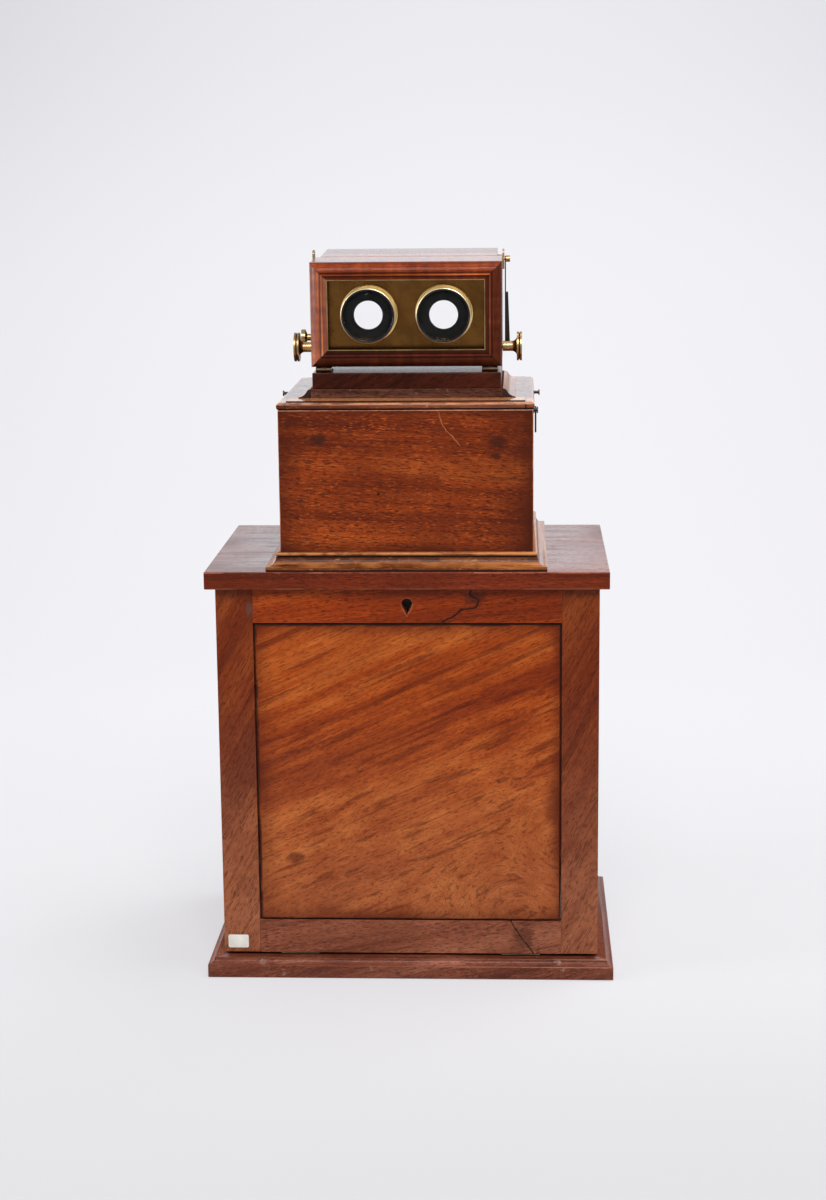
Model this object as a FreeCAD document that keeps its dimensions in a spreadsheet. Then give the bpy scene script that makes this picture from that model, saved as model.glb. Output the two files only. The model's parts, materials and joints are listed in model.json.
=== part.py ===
import FreeCAD, Part
import math
import os
import Sketcher

# Table stereoscope: a viewer head on a stepped lid, a packing case and a card cabinet.
# Millimetres and degrees. X runs to the right, Y away from the viewer, Z up.
# The origin is the middle of the plinth's foot.

driving_sizes = {
    # plinth under the cabinet
    "plinth_width": 424.0,
    "plinth_depth": 295.0,
    "plinth_height": 20.0,
    "plinth_stock": 34.0,
    "plinth_face": 14.0,
    "plinth_ledge": 6.5,
    "plinth_drop": 2.4,
    "plinth_cove": 7.0,
    # cabinet carcass
    "cabinet_width": 391.5,
    "cabinet_depth": 263.0,
    "cabinet_height": 394.0,
    "cabinet_wall": 12.0,
    "cabinet_back": 10.0,
    "cabinet_floor": 10.0,
    "top_width": 411.0,
    "top_depth": 286.0,
    "top_thick": 18.0,
    "top_round": 1.2,
    "shelf_thick": 8.0,
    "shelf_setback": 16.0,
    "halving_clear": 0.2,
    # fall front
    "door_thick": 17.6,
    "door_seat": 0.4,
    "door_gap": 2.6,
    "door_head_gap": 0.9,
    "stile_width": 38.0,
    "rail_height": 36.0,
    "panel_gap": 1.5,
    "panel_thick": 12.0,
    "tongue_thick": 6.0,
    "tongue_depth": 8.0,
    "tongue_setback": 5.5,
    "groove_clear": 0.2,
    "keyhole_width": 11.0,
    "keyhole_height": 17.0,
    "keyhole_drop": 19.0,
    "door_hinge_length": 40.0,
    "door_hinge_width": 13.0,
    "door_hinge_radius": 1.0,
    "door_hinge_leaf": 0.9,
    "door_hinge_pin": 0.5,
    "door_hinge_inset": 60.0,
    "door_hinge_sink": 1.1,
    "knuckle_relief": 0.3,
    "knuckle_play": 0.15,
    # lock on the inside of the front's top rail
    "lock_width": 56.0,
    "lock_height": 30.0,
    "lock_depth": 9.0,
    "lock_inset": 2.5,
    "bolt_width": 22.0,
    "bolt_thick": 4.0,
    "bolt_height": 18.0,
    "bolt_throw": 6.0,
    "bolt_clear": 0.3,
    "lock_key_radius": 4.0,
    # packing case
    "case_width": 257.0,
    "case_depth": 250.0,
    "case_height": 162.0,
    "case_wall": 9.0,
    "case_floor": 8.0,
    "base_height": 18.0,
    "base_stock": 14.0,
    "base_bead": 2.25,
    "base_cove": 8.0,
    # latch hooks on the case and pins on the lid
    "hook_reach": 18.8,
    "hook_thick": 1.8,
    "hook_eye": 4.0,
    "hook_width": 7.0,
    "hook_tail": 5.0,
    "hook_standoff": 2.1,
    "hook_play": 0.3,
    "screw_radius": 1.9,
    "screw_head": 3.4,
    "screw_head_thick": 1.4,
    "screw_depth": 7.0,
    "pin_radius": 1.6,
    "pin_length": 6.0,
    "pin_depth": 8.0,
    "pin_head": 2.9,
    "pin_head_thick": 1.3,
    "notch_clear": 0.4,
    # lid
    "lid_overhang": 1.2,
    "lid_thick": 7.5,
    "lid_round": 3.4,
    "lid_field_inset": 9.3,
    "lid_field": 1.0,
    "core_width": 195.4,
    "core_depth": 182.0,
    "core_thick": 9.2,
    "ogee_width": 12.9,
    "ogee_hollow": 12.0,
    "ogee_swell": 5.5,
    # tilt board, tilt hinges and clamp
    "board_width": 191.8,
    "board_thick": 16.4,
    "head_gap": 5.5,
    "hinge_setback": 6.0,
    "tilt_hinge_length": 16.0,
    "tilt_hinge_width": 24.0,
    "tilt_hinge_radius": 2.4,
    "tilt_hinge_leaf": 1.4,
    "tilt_hinge_pin": 1.2,
    "tilt_hinge_inset": 4.5,
    "head_tilt": 2.5,
    "tilt_fall": 2.5,
    "tilt_rise": 30.0,
    "slot_spare": 1.0,
    "quadrant_thick": 2.5,
    "quadrant_band": 8.0,
    "quadrant_end": 5.0,
    "quadrant_gap": 0.4,
    "quadrant_foot": 13.0,
    "clamp_radius": 96.4,
    "clamp_angle": 12.7,
    "clamp_screw": 2.5,
    "clamp_depth": 8.0,
    "clamp_collar": 6.0,
    "clamp_neck": 3.6,
    "clamp_disc": 8.3,
    "clamp_reach": 18.4,
    "clamp_rim": 4.0,
    # head
    "head_width": 194.0,
    "head_height": 105.4,
    "head_depth": 160.0,
    "head_wall": 9.0,
    "head_floor": 8.0,
    "head_top": 7.0,
    "head_back": 8.0,
    "seam_setback": 67.0,
    "frame_width": 17.5,
    "frame_depth": 12.0,
    "frame_land": 5.0,
    "frame_bead": 2.0,
    "frame_strip": 4.5,
    "frame_sink": 2.5,
    "frame_round": 10.5,
    "window_width": 160.0,
    "window_height": 72.0,
    "glass_thick": 2.0,
    "glass_lap": 3.0,
    "glass_clear": 0.2,
    "septum_thick": 3.0,
    "septum_start": 52.0,
    "septum_gap": 8.0,
    "card_slot": 3.0,
    "card_slot_depth": 1.8,
    "card_slot_gap": 3.0,
    # lenses
    "lens_spacing": 76.2,
    "plate_thick": 3.0,
    "plate_lap": 3.4,
    "tube_radius": 27.3,
    "tube_wall": 1.3,
    "tube_length": 22.0,
    "flange_radius": 29.2,
    "flange_thick": 2.4,
    "spigot_length": 4.0,
    "spigot_wall": 2.0,
    "stop_bore": 14.3,
    "stop_thick": 1.6,
    "lens_thick": 8.0,
    "lens_edge": 3.0,
    "lens_setback": 1.6,
    "glass_fit": 0.1,
    # focus
    "focus_forward": 5.0,
    "focus_back": 9.0,
    "plate_clear": 0.6,
    "shaft_rise": 16.0,
    "shaft_setback": 40.0,
    "shaft_radius": 3.0,
    "bush_radius": 5.0,
    "running_fit": 0.05,
    "gear_module": 0.8,
    "gear_backlash": 0.25,
    "pinion_width": 7.0,
    "pinion_gap": 0.6,
    "rack_width": 8.4,
    "rack_length": 60.0,
    "rack_height": 7.0,
    "runner_out": 2.6,
    "runner_lift": 1.0,
    "runner_clear": 0.3,
    "knob_radius": 14.8,
    "knob_neck": 5.2,
    "knob_reach": 20.0,
    "knob_rim": 5.2,
    "knob_flare": 5.0,
    "knob_groove": 1.5,
    "knob_gap": 0.5,
    # reflector flap
    "flap_inset": 5.5,
    "flap_gap": 0.6,
    "flap_clear": 0.4,
    "mirror_thick": 2.0,
    "mirror_margin": 12.0,
    "pivot_radius": 1.4,
    "pivot_depth": 9.0,
    "ear_thick": 2.0,
    "ear_radius": 6.0,
    "ear_drop": 10.0,
    "lever_gap": 0.4,
    "lever_thick": 1.2,
    "lever_width": 6.0,
    "lever_length": 86.0,
    "grip_length": 52.0,
    "grip_width": 7.0,
    "grip_top": 3.4,
    "grip_foot": 5.2,
    "nut_radius": 3.3,
    "nut_thick": 4.2,
}
pinion_teeth = 12
flank_steps = 5
pressure_angle = 20.0
rack_addendum_share = 0.65
root_share = 1.25

doc = FreeCAD.newDocument("table_stereoscope")
sheet = doc.addObject("Spreadsheet::Sheet", "Sizes")
for row, (alias, amount) in enumerate(driving_sizes.items(), start=1):
    sheet.set("A%d" % row, alias)
    sheet.set("B%d" % row, str(amount))
    sheet.setAlias("B%d" % row, alias)
doc.recompute()


class Size:
    # A size that carries its number and the text of its expression together.
    def __init__(self, value, text):
        self.value = value
        self.text = text

    def __add__(self, other):
        other = as_size(other)
        return Size(self.value + other.value, "(%s + %s)" % (self.text, other.text))

    def __sub__(self, other):
        other = as_size(other)
        return Size(self.value - other.value, "(%s - %s)" % (self.text, other.text))

    def __mul__(self, other):
        other = as_size(other)
        return Size(self.value * other.value, "(%s * %s)" % (self.text, other.text))

    def __truediv__(self, other):
        other = as_size(other)
        return Size(self.value / other.value, "(%s / %s)" % (self.text, other.text))

    def __neg__(self):
        return Size(-self.value, "(0 - %s)" % self.text)

    def __radd__(self, other):
        return as_size(other) + self

    def __rsub__(self, other):
        return as_size(other) - self

    def __rmul__(self, other):
        return as_size(other) * self


def as_size(amount):
    if isinstance(amount, Size):
        return amount
    return Size(float(amount), repr(float(amount)))


def cosine(angle):
    return Size(math.cos(math.radians(angle.value)), "cos(%s)" % angle.text)


def sine(angle):
    return Size(math.sin(math.radians(angle.value)), "sin(%s)" % angle.text)


class Sheet:
    # Every cell of the sheet as an attribute, such as cell.top_width.
    def __init__(self, source, aliases):
        for alias in aliases:
            setattr(self, alias, Size(float(source.get(alias)), "Sizes." + alias))


cell = Sheet(sheet, driving_sizes)
nodes = []
axis_x = FreeCAD.Vector(1, 0, 0)
axis_y = FreeCAD.Vector(0, 1, 0)
axis_z = FreeCAD.Vector(0, 0, 1)


def bind(piece, setting, amount):
    piece.setExpression(setting, as_size(amount).text)


def keep(piece, label=None):
    piece.Label = label or piece.Name
    nodes.append(piece)
    return piece


def seat(piece, x, y, z):
    bind(piece, "Placement.Base.x", x)
    bind(piece, "Placement.Base.y", y)
    bind(piece, "Placement.Base.z", z)
    return piece


def block(name, x, y, z):
    # A board between its start and end along each axis.
    piece = doc.addObject("Part::Box", name)
    for setting, (start, end) in zip(("Length", "Width", "Height"), (x, y, z)):
        bind(piece, setting, as_size(end) - start)
    return seat(piece, x[0], y[0], z[0])


def rod_x(name, radius, x, y, z):
    # A cylinder along X between its two ends.
    piece = doc.addObject("Part::Cylinder", name)
    piece.Placement = FreeCAD.Placement(FreeCAD.Vector(), FreeCAD.Rotation(axis_y, 90))
    bind(piece, "Radius", radius)
    bind(piece, "Height", as_size(x[1]) - x[0])
    return seat(piece, x[0], y, z)


def rod_y(name, radius, x, y, z):
    # A cylinder along Y between its two ends.
    piece = doc.addObject("Part::Cylinder", name)
    piece.Placement = FreeCAD.Placement(FreeCAD.Vector(), FreeCAD.Rotation(axis_x, -90))
    bind(piece, "Radius", radius)
    bind(piece, "Height", as_size(y[1]) - y[0])
    return seat(piece, x, y[0], z)


def beside(sign, near, far):
    # The same stretch of X on the right hand (sign 1) or the left hand (sign -1).
    return (near, far) if sign > 0 else (-far, -near)


def fuse(name, pieces):
    piece = doc.addObject("Part::MultiFuse", name)
    piece.Shapes = pieces
    return piece


def cut(name, base, tools):
    # Takes every tool out of the base.
    piece = doc.addObject("Part::Cut", name)
    piece.Base = base
    if len(tools) == 1:
        piece.Tool = tools[0]
    else:
        piece.Tool = fuse(name + "_tools", tools)
    return piece


def group(name, pieces):
    # Like pieces that share one node as separate solids.
    piece = doc.addObject("Part::Compound", name)
    piece.Links = pieces
    return piece


def origin_plane(body, role):
    for feature in body.Origin.OriginFeatures:
        if feature.Role == role:
            return feature
    raise ValueError(role)


def arc_between(start, end, radius):
    # The short arc from start to end: a positive radius turns left, a negative one right.
    chord = end - start
    middle = (start + end) * 0.5
    left = FreeCAD.Vector(-chord.y, chord.x, 0).normalize()
    rise = math.sqrt(max(radius * radius - chord.Length ** 2 / 4, 0.0))
    centre = middle + left * math.copysign(rise, radius)
    from_point, to_point = (start, end) if radius > 0 else (end, start)
    angles = []
    for spot in (from_point, to_point):
        angles.append(math.atan2(spot.y - centre.y, spot.x - centre.x))
    if angles[1] < angles[0]:
        angles[1] += 2 * math.pi
    circle = Part.Circle(centre, axis_z, abs(radius))
    return Part.ArcOfCircle(circle, angles[0], angles[1])


def draw(sketch, points):
    # A closed outline. A third value on a point makes the stretch after it an arc of that radius.
    first = sketch.GeometryCount
    count = len(points)
    spots = [FreeCAD.Vector(as_size(point[0]).value, as_size(point[1]).value, 0) for point in points]
    starts, ends = [], []
    for index, point in enumerate(points):
        start, end = spots[index], spots[(index + 1) % count]
        turn = as_size(point[2]).value if len(point) == 3 else 0.0
        edge = arc_between(start, end, turn) if turn else Part.LineSegment(start, end)
        sketch.addGeometry(edge)
        starts.append(2 if turn < 0 else 1)
        ends.append(1 if turn < 0 else 2)
    for index, point in enumerate(points):
        following = (index + 1) % count
        joint = (first + index, ends[index], first + following, starts[following])
        sketch.addConstraint(Sketcher.Constraint("Coincident", *joint))
        for kind, amount in zip(("DistanceX", "DistanceY"), point[:2]):
            amount = as_size(amount)
            fixed = (-1, 1, first + index, starts[index], amount.value)
            number = sketch.addConstraint(Sketcher.Constraint(kind, *fixed))
            sketch.setExpression("Constraints[%d]" % number, amount.text)
        if len(point) == 3:
            radius = as_size(point[2])
            if radius.value < 0:
                radius = -radius
            number = sketch.addConstraint(Sketcher.Constraint("Radius", first + index, radius.value))
            sketch.setExpression("Constraints[%d]" % number, radius.text)


def sketch_on(body, role, name, outlines):
    sketch = body.newObject("Sketcher::SketchObject", name)
    sketch.AttachmentSupport = [(origin_plane(body, role), "")]
    sketch.MapMode = "FlatFace"
    for points in outlines:
        draw(sketch, points)
    return sketch


def new_body(name):
    return doc.addObject("PartDesign::Body", name)


def prism(name, role, outlines, length):
    # A flat outline padded square to its plane.
    body = new_body(name)
    pad = body.newObject("PartDesign::Pad", name + "_pad")
    pad.Profile = sketch_on(body, role, name + "_outline", outlines)
    bind(pad, "Length", length)
    return body


def round_edges(body, name, radius, uprights):
    # Rounds the level edges of a board, and its upright corners too where asked.
    doc.recompute()
    board = body.Tip
    edges = []
    for number, edge in enumerate(board.Shape.Edges, start=1):
        level = abs(edge.Vertexes[0].Z - edge.Vertexes[-1].Z) < edge.Length / 2
        if level or uprights:
            edges.append("Edge%d" % number)
    rounding = body.newObject("PartDesign::Fillet", name)
    rounding.Base = (board, edges)
    bind(rounding, "Radius", radius)
    return body


def turned(name, axis, points):
    # A turned piece about the sketch's own axis: H_Axis is X and V_Axis is Y.
    body = new_body(name)
    sketch = sketch_on(body, "XY_Plane", name + "_outline", [points])
    spin = body.newObject("PartDesign::Revolution", name + "_turning")
    spin.Profile = sketch
    spin.ReferenceAxis = (sketch, [axis])
    spin.Angle = 360
    return body


def moulding(name, profile, stock, length, mitres=(True, True)):
    # A length of moulding along X with its show face at y = 0, mitred at either end.
    body = prism(name, "YZ_Plane", [profile], length)
    spare = stock * 0.1
    corners = []
    if mitres[0]:
        corners.append([(-spare, -spare), (stock + spare, stock + spare), (-spare, stock + spare)])
    if mitres[1]:
        reach = length - stock - spare
        corners.append([(length + spare, -spare), (length + spare, stock + spare), (reach, stock + spare)])
    pocket = body.newObject("PartDesign::Pocket", name + "_mitres")
    pocket.Profile = sketch_on(body, "XY_Plane", name + "_mitre_lines", corners)
    pocket.Type = "ThroughAll"
    pocket.Reversed = True
    return body


def turn_flat(body, quarter):
    body.Placement = FreeCAD.Placement(FreeCAD.Vector(), FreeCAD.Rotation(axis_z, 90 * quarter))
    return body


def flat_frame(prefix, profile, stock, width, depth, z):
    # Four mitred lengths round a rectangle: front, right, back and left.
    corners = (
        (-width / 2, -depth / 2, width),
        (width / 2, -depth / 2, depth),
        (width / 2, depth / 2, width),
        (-width / 2, depth / 2, depth),
    )
    lengths = []
    for quarter, (side, (x, y, length)) in enumerate(zip(("front", "right", "back", "left"), corners)):
        body = moulding("%s_%s" % (prefix, side), profile, stock, length)
        lengths.append(seat(turn_flat(body, quarter), x, y, z))
    return lengths


def butt_hinge(prefix, length, width, radius, leaf, pin, gap):
    # A pair of hinge leaves about X, drawn round the pin with both leaves running back from it.
    # The lower leaf has the outer knuckles and the riveted pin, the upper leaf the middle knuckle.
    third = length / 3
    middle = (third + cell.knuckle_play, third * 2 - cell.knuckle_play)
    relief = radius + cell.knuckle_relief
    spans = {"lower": ((0, third), (third * 2, length)), "upper": (middle,)}
    heights = {"lower": (-gap / 2, leaf - gap / 2), "upper": (gap / 2 - leaf, gap / 2)}
    leaves = {}
    for part in ("lower", "upper"):
        name = "%s_%s" % (prefix, part)
        pieces = [block(name + "_plate", (0, length), (relief, width), heights[part])]
        for number, span in enumerate(spans[part]):
            pieces.append(block("%s_strap_%d" % (name, number), span, (0, relief), heights[part]))
            pieces.append(rod_x("%s_knuckle_%d" % (name, number), radius, span, 0, 0))
        leaves[part] = fuse(name + "_solid", pieces)
    bore = rod_x(prefix + "_bore", pin + cell.running_fit, middle, 0, 0)
    rivet = rod_x(prefix + "_pin", pin, (0, length), 0, 0)
    lower = fuse(prefix + "_lower_leaf", [leaves["lower"], rivet])
    upper = cut(prefix + "_upper_leaf", leaves["upper"], [bore])
    return lower, upper


# Levels from the floor up
half_cabinet = cell.cabinet_width / 2
cabinet_front = -cell.cabinet_depth / 2
cabinet_rear = cell.cabinet_depth / 2
carcass_front = cabinet_front + cell.door_thick + cell.door_seat
top_under = cell.plinth_height + cell.cabinet_height
top_level = top_under + cell.top_thick
case_top = top_level + cell.case_height
lid_level = case_top + cell.lid_thick
field_level = lid_level + cell.lid_field
core_level = field_level + cell.core_thick
board_level = core_level + cell.board_thick
core_front = -cell.core_depth / 2

# Plinth: a flat ledge round the cabinet, a small drop, a cove and an upright face
plinth_profile = [
    (0, 0),
    (cell.plinth_stock, 0),
    (cell.plinth_stock, cell.plinth_height),
    (cell.plinth_ledge, cell.plinth_height),
    (cell.plinth_ledge, cell.plinth_height - cell.plinth_drop, -cell.plinth_cove),
    (0, cell.plinth_face),
]
plinth = flat_frame("plinth", plinth_profile, cell.plinth_stock, cell.plinth_width, cell.plinth_depth, 0)
keep(plinth[0])
keep(plinth[2])
keep(group("plinth_sides", [plinth[1], plinth[3]]))

# Cabinet carcass: sides on the plinth, floor and back between them
inner_half = half_cabinet - cell.cabinet_wall
carcass_depth = (carcass_front, cabinet_rear)
carcass_height = (cell.plinth_height, top_under)
cabinet_sides = [
    block("cabinet_side_left", (-half_cabinet, -inner_half), carcass_depth, carcass_height),
    block("cabinet_side_right", (inner_half, half_cabinet), carcass_depth, carcass_height),
]
keep(group("cabinet_sides", cabinet_sides))
back_face = cabinet_rear - cell.cabinet_back
floor_level = cell.plinth_height + cell.cabinet_floor
inner_width = (-inner_half, inner_half)
keep(block("cabinet_back", inner_width, (back_face, cabinet_rear), carcass_height))
keep(block("cabinet_floor", inner_width, (carcass_front, back_face), (cell.plinth_height, floor_level)))

# Cabinet top with softened edges and a mortise for the lock bolt
half_top_width = cell.top_width / 2
half_top_depth = cell.top_depth / 2
top_outline = [
    (-half_top_width, -half_top_depth),
    (half_top_width, -half_top_depth),
    (half_top_width, half_top_depth),
    (-half_top_width, half_top_depth),
]
top_board = prism("top_board", "XY_Plane", [top_outline], cell.top_thick)
round_edges(top_board, "top_softening", cell.top_round, True)
seat(top_board, 0, 0, top_under)
bolt_half = cell.bolt_width / 2
bolt_front = carcass_front - cell.door_seat + (cell.lock_depth - cell.bolt_thick) / 2
bolt_rear = bolt_front + cell.bolt_thick
mortise = block(
    "bolt_mortise",
    (-bolt_half - cell.bolt_clear, bolt_half + cell.bolt_clear),
    (bolt_front - cell.bolt_clear, bolt_rear + cell.bolt_clear),
    (top_under - cell.bolt_throw, top_under + cell.bolt_throw),
)
keep(cut("cabinet_top", top_board, [mortise]))

# Shelves and divider, halved together, that make the card pigeonholes
shelf_front = carcass_front + cell.shelf_setback
shelf_middle = (shelf_front + back_face) / 2
divider_half = cell.shelf_thick / 2
bay_height = (top_under - floor_level - cell.shelf_thick * 2) / 3
shelf_levels = [floor_level + bay_height, floor_level + bay_height * 2 + cell.shelf_thick]
shelves = []
divider_slots = []
for number, level in enumerate(shelf_levels):
    shelf_rise = (level, level + cell.shelf_thick)
    board = block("shelf_board_%d" % number, inner_width, (shelf_front, back_face), shelf_rise)
    slot_half = divider_half + cell.halving_clear
    slot_depth = (shelf_middle - cell.halving_clear, back_face + cell.shelf_thick)
    slot = block("shelf_slot_%d" % number, (-slot_half, slot_half), slot_depth, shelf_rise)
    shelves.append(cut("shelf_%d" % number, board, [slot]))
    slot_height = (level - cell.halving_clear, level + cell.shelf_thick + cell.halving_clear)
    slot_depth = (shelf_front - cell.shelf_thick, shelf_middle + cell.halving_clear)
    slot = block("divider_slot_%d" % number, (-slot_half, slot_half), slot_depth, slot_height)
    divider_slots.append(slot)
keep(group("card_shelves", shelves))
divider_span = (-divider_half, divider_half)
divider_board = block("divider_board", divider_span, (shelf_front, back_face), (floor_level, top_under))
keep(cut("card_divider", divider_board, divider_slots))

# Fall front: stiles, rails with stub tenons and a flush panel held by its tongue
door_foot = cell.plinth_height + cell.door_gap
door_head = top_under - cell.door_head_gap
door_depth = (cabinet_front, cabinet_front + cell.door_thick)
stile_inner = half_cabinet - cell.stile_width
groove_reach = cell.tongue_depth + cell.groove_clear
groove_front = cabinet_front + cell.tongue_setback
groove_depth = (groove_front, groove_front + cell.tongue_thick)
tongue_depth = (groove_front + cell.groove_clear, groove_front + cell.tongue_thick - cell.groove_clear)
stiles = []
for side, sign in (("left", -1), ("right", 1)):
    board_span = beside(sign, stile_inner, half_cabinet)
    groove_span = beside(sign, stile_inner, stile_inner + groove_reach)
    board = block("stile_board_" + side, board_span, door_depth, (door_foot, door_head))
    groove = block("stile_groove_" + side, groove_span, groove_depth, (door_foot, door_head))
    stiles.append(cut("door_stile_" + side, board, [groove]))
keep(group("door_stiles", stiles))
rail_inner = {"top": door_head - cell.rail_height, "bottom": door_foot + cell.rail_height}
rail_spans = {"top": (rail_inner["top"], door_head), "bottom": (door_foot, rail_inner["bottom"])}
rail_grooves = {
    "top": (rail_inner["top"], rail_inner["top"] + groove_reach),
    "bottom": (rail_inner["bottom"] - groove_reach, rail_inner["bottom"]),
}
rails = {}
for side in ("top", "bottom"):
    board = block("rail_board_" + side, (-stile_inner, stile_inner), door_depth, rail_spans[side])
    tenon_reach = stile_inner + cell.tongue_depth
    tenons = block("rail_tenons_" + side, (-tenon_reach, tenon_reach), tongue_depth, rail_spans[side])
    groove = block("rail_groove_" + side, (-tenon_reach, tenon_reach), groove_depth, rail_grooves[side])
    rails[side] = (fuse("rail_with_tenons_" + side, [board, tenons]), groove)
keep(cut("door_bottom_rail", rails["bottom"][0], [rails["bottom"][1]]))

# The keyhole is a bare kite with a round head, with the lock's key hole behind it
key_level = door_head - cell.keyhole_drop
key_round = cell.keyhole_width / 2
key_top = cell.keyhole_height / 2
key_waist = key_top - key_round
keyhole_outline = [
    (0, -key_top),
    (key_round, key_waist, key_round),
    (0, key_top, key_round),
    (-key_round, key_waist),
]
keyhole = prism("keyhole", "XZ_Plane", [keyhole_outline], cell.door_thick * 2)
seat(keyhole, 0, cabinet_front + cell.door_thick * 1.5, key_level)
keep(cut("door_top_rail", rails["top"][0], [rails["top"][1], keyhole]))
panel_half = stile_inner - cell.panel_gap
panel_span = (-panel_half, panel_half)
panel_height = (rail_inner["bottom"] + cell.panel_gap, rail_inner["top"] - cell.panel_gap)
panel_depth = (cabinet_front, cabinet_front + cell.panel_thick)
tongue_half = stile_inner + cell.tongue_depth
tongue_height = (rail_inner["bottom"] - groove_reach, rail_inner["top"] + cell.tongue_depth)
panel_field = block("panel_field", panel_span, panel_depth, panel_height)
panel_tongue = block("panel_tongue", (-tongue_half, tongue_half), tongue_depth, tongue_height)
keep(fuse("door_panel", [panel_field, panel_tongue]))

# Door hinges in the gap under the front, with their pins just inside its face
door_pin_y = cabinet_front + cell.door_hinge_sink
door_pin_z = cell.plinth_height + cell.door_gap / 2
door_leaves = {"lower": [], "upper": []}
hinge_starts = {
    "left": -half_cabinet + cell.door_hinge_inset,
    "right": half_cabinet - cell.door_hinge_inset - cell.door_hinge_length,
}
for side, start in hinge_starts.items():
    lower, upper = butt_hinge(
        "door_hinge_" + side, cell.door_hinge_length, cell.door_hinge_width, cell.door_hinge_radius,
        cell.door_hinge_leaf, cell.door_hinge_pin, cell.door_gap,
    )
    door_leaves["lower"].append(seat(lower, start, door_pin_y, door_pin_z))
    door_leaves["upper"].append(seat(upper, start, door_pin_y, door_pin_z))
keep(group("door_hinge_fixed_leaves", door_leaves["lower"]))
keep(group("door_hinge_leaves", door_leaves["upper"]))

# Lock: a case on the back of the top rail and a bolt that shoots up into the mortise
lock_face = cabinet_front + cell.door_thick
lock_top = door_head - cell.lock_inset
lock_span = (-cell.lock_width / 2, cell.lock_width / 2)
lock_rise = (lock_top - cell.lock_height, lock_top)
lock_body = block("lock_body", lock_span, (lock_face, lock_face + cell.lock_depth), lock_rise)
bolt_way = block(
    "bolt_way",
    (-bolt_half - cell.bolt_clear, bolt_half + cell.bolt_clear),
    (bolt_front - cell.bolt_clear, bolt_rear + cell.bolt_clear),
    (lock_top - cell.bolt_height - cell.bolt_clear, lock_top + cell.bolt_throw),
)
key_depth = (lock_face - cell.lock_depth, bolt_front - cell.bolt_clear * 3)
key_way = rod_y("key_way", cell.lock_key_radius, 0, key_depth, key_level)
keep(cut("lock_case", lock_body, [bolt_way, key_way]))
bolt_rise = (lock_top - cell.bolt_height, lock_top)
keep(block("lock_bolt", (-bolt_half, bolt_half), (bolt_front, bolt_rear), bolt_rise))

# Packing case: front and back boards lap the sides, the floor lies between them
half_case = cell.case_width / 2
case_inner = half_case - cell.case_wall
case_half_depth = cell.case_depth / 2
case_inner_depth = case_half_depth - cell.case_wall
case_rise = (top_level, case_top)
keep(block("case_front", (-half_case, half_case), (-case_half_depth, -case_inner_depth), case_rise))
keep(block("case_back", (-half_case, half_case), (case_inner_depth, case_half_depth), case_rise))
pin_level = case_top + cell.lid_thick / 2
hook_level = pin_level - cell.hook_reach
case_sides = []
for side, sign in (("left", -1), ("right", 1)):
    span = beside(sign, case_inner, half_case)
    board = block("case_board_" + side, span, (-case_inner_depth, case_inner_depth), case_rise)
    hole_span = beside(sign, half_case - cell.screw_depth, half_case + cell.screw_depth)
    hole = rod_x("screw_hole_" + side, cell.screw_radius, hole_span, 0, hook_level)
    case_sides.append(cut("case_side_" + side, board, [hole]))
keep(group("case_sides", case_sides))
case_floor_span = (-case_inner, case_inner)
case_floor_depth = (-case_inner_depth, case_inner_depth)
keep(block("case_floor", case_floor_span, case_floor_depth, (top_level, top_level + cell.case_floor)))

# Base mouldings round the case: bead, fillet, cove and spreading foot
bead_face = cell.base_stock - cell.base_bead + cell.base_bead * 0.1
bead_foot = cell.base_height - cell.base_bead * 2
fillet_face = bead_face - cell.base_bead
cove_top = bead_foot - cell.base_bead * 0.7
cove_foot = cove_top - cell.base_cove * 0.9
base_profile = [
    (0, 0),
    (cell.base_stock, 0),
    (cell.base_stock, cell.base_height),
    (bead_face, cell.base_height, cell.base_bead),
    (bead_face - cell.base_bead, cell.base_height - cell.base_bead, cell.base_bead),
    (bead_face, bead_foot),
    (fillet_face, bead_foot),
    (fillet_face, cove_top, -cell.base_cove),
    (fillet_face - cell.base_cove * 0.9, cove_foot),
    (0, cove_foot),
]
base_width = cell.case_width + cell.base_stock * 2
base_depth = cell.case_depth + cell.base_stock * 2
case_base = flat_frame("case_base", base_profile, cell.base_stock, base_width, base_depth, top_level)
keep(group("case_base_long", [case_base[0], case_base[2]]))
keep(group("case_base_sides", [case_base[1], case_base[3]]))

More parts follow.
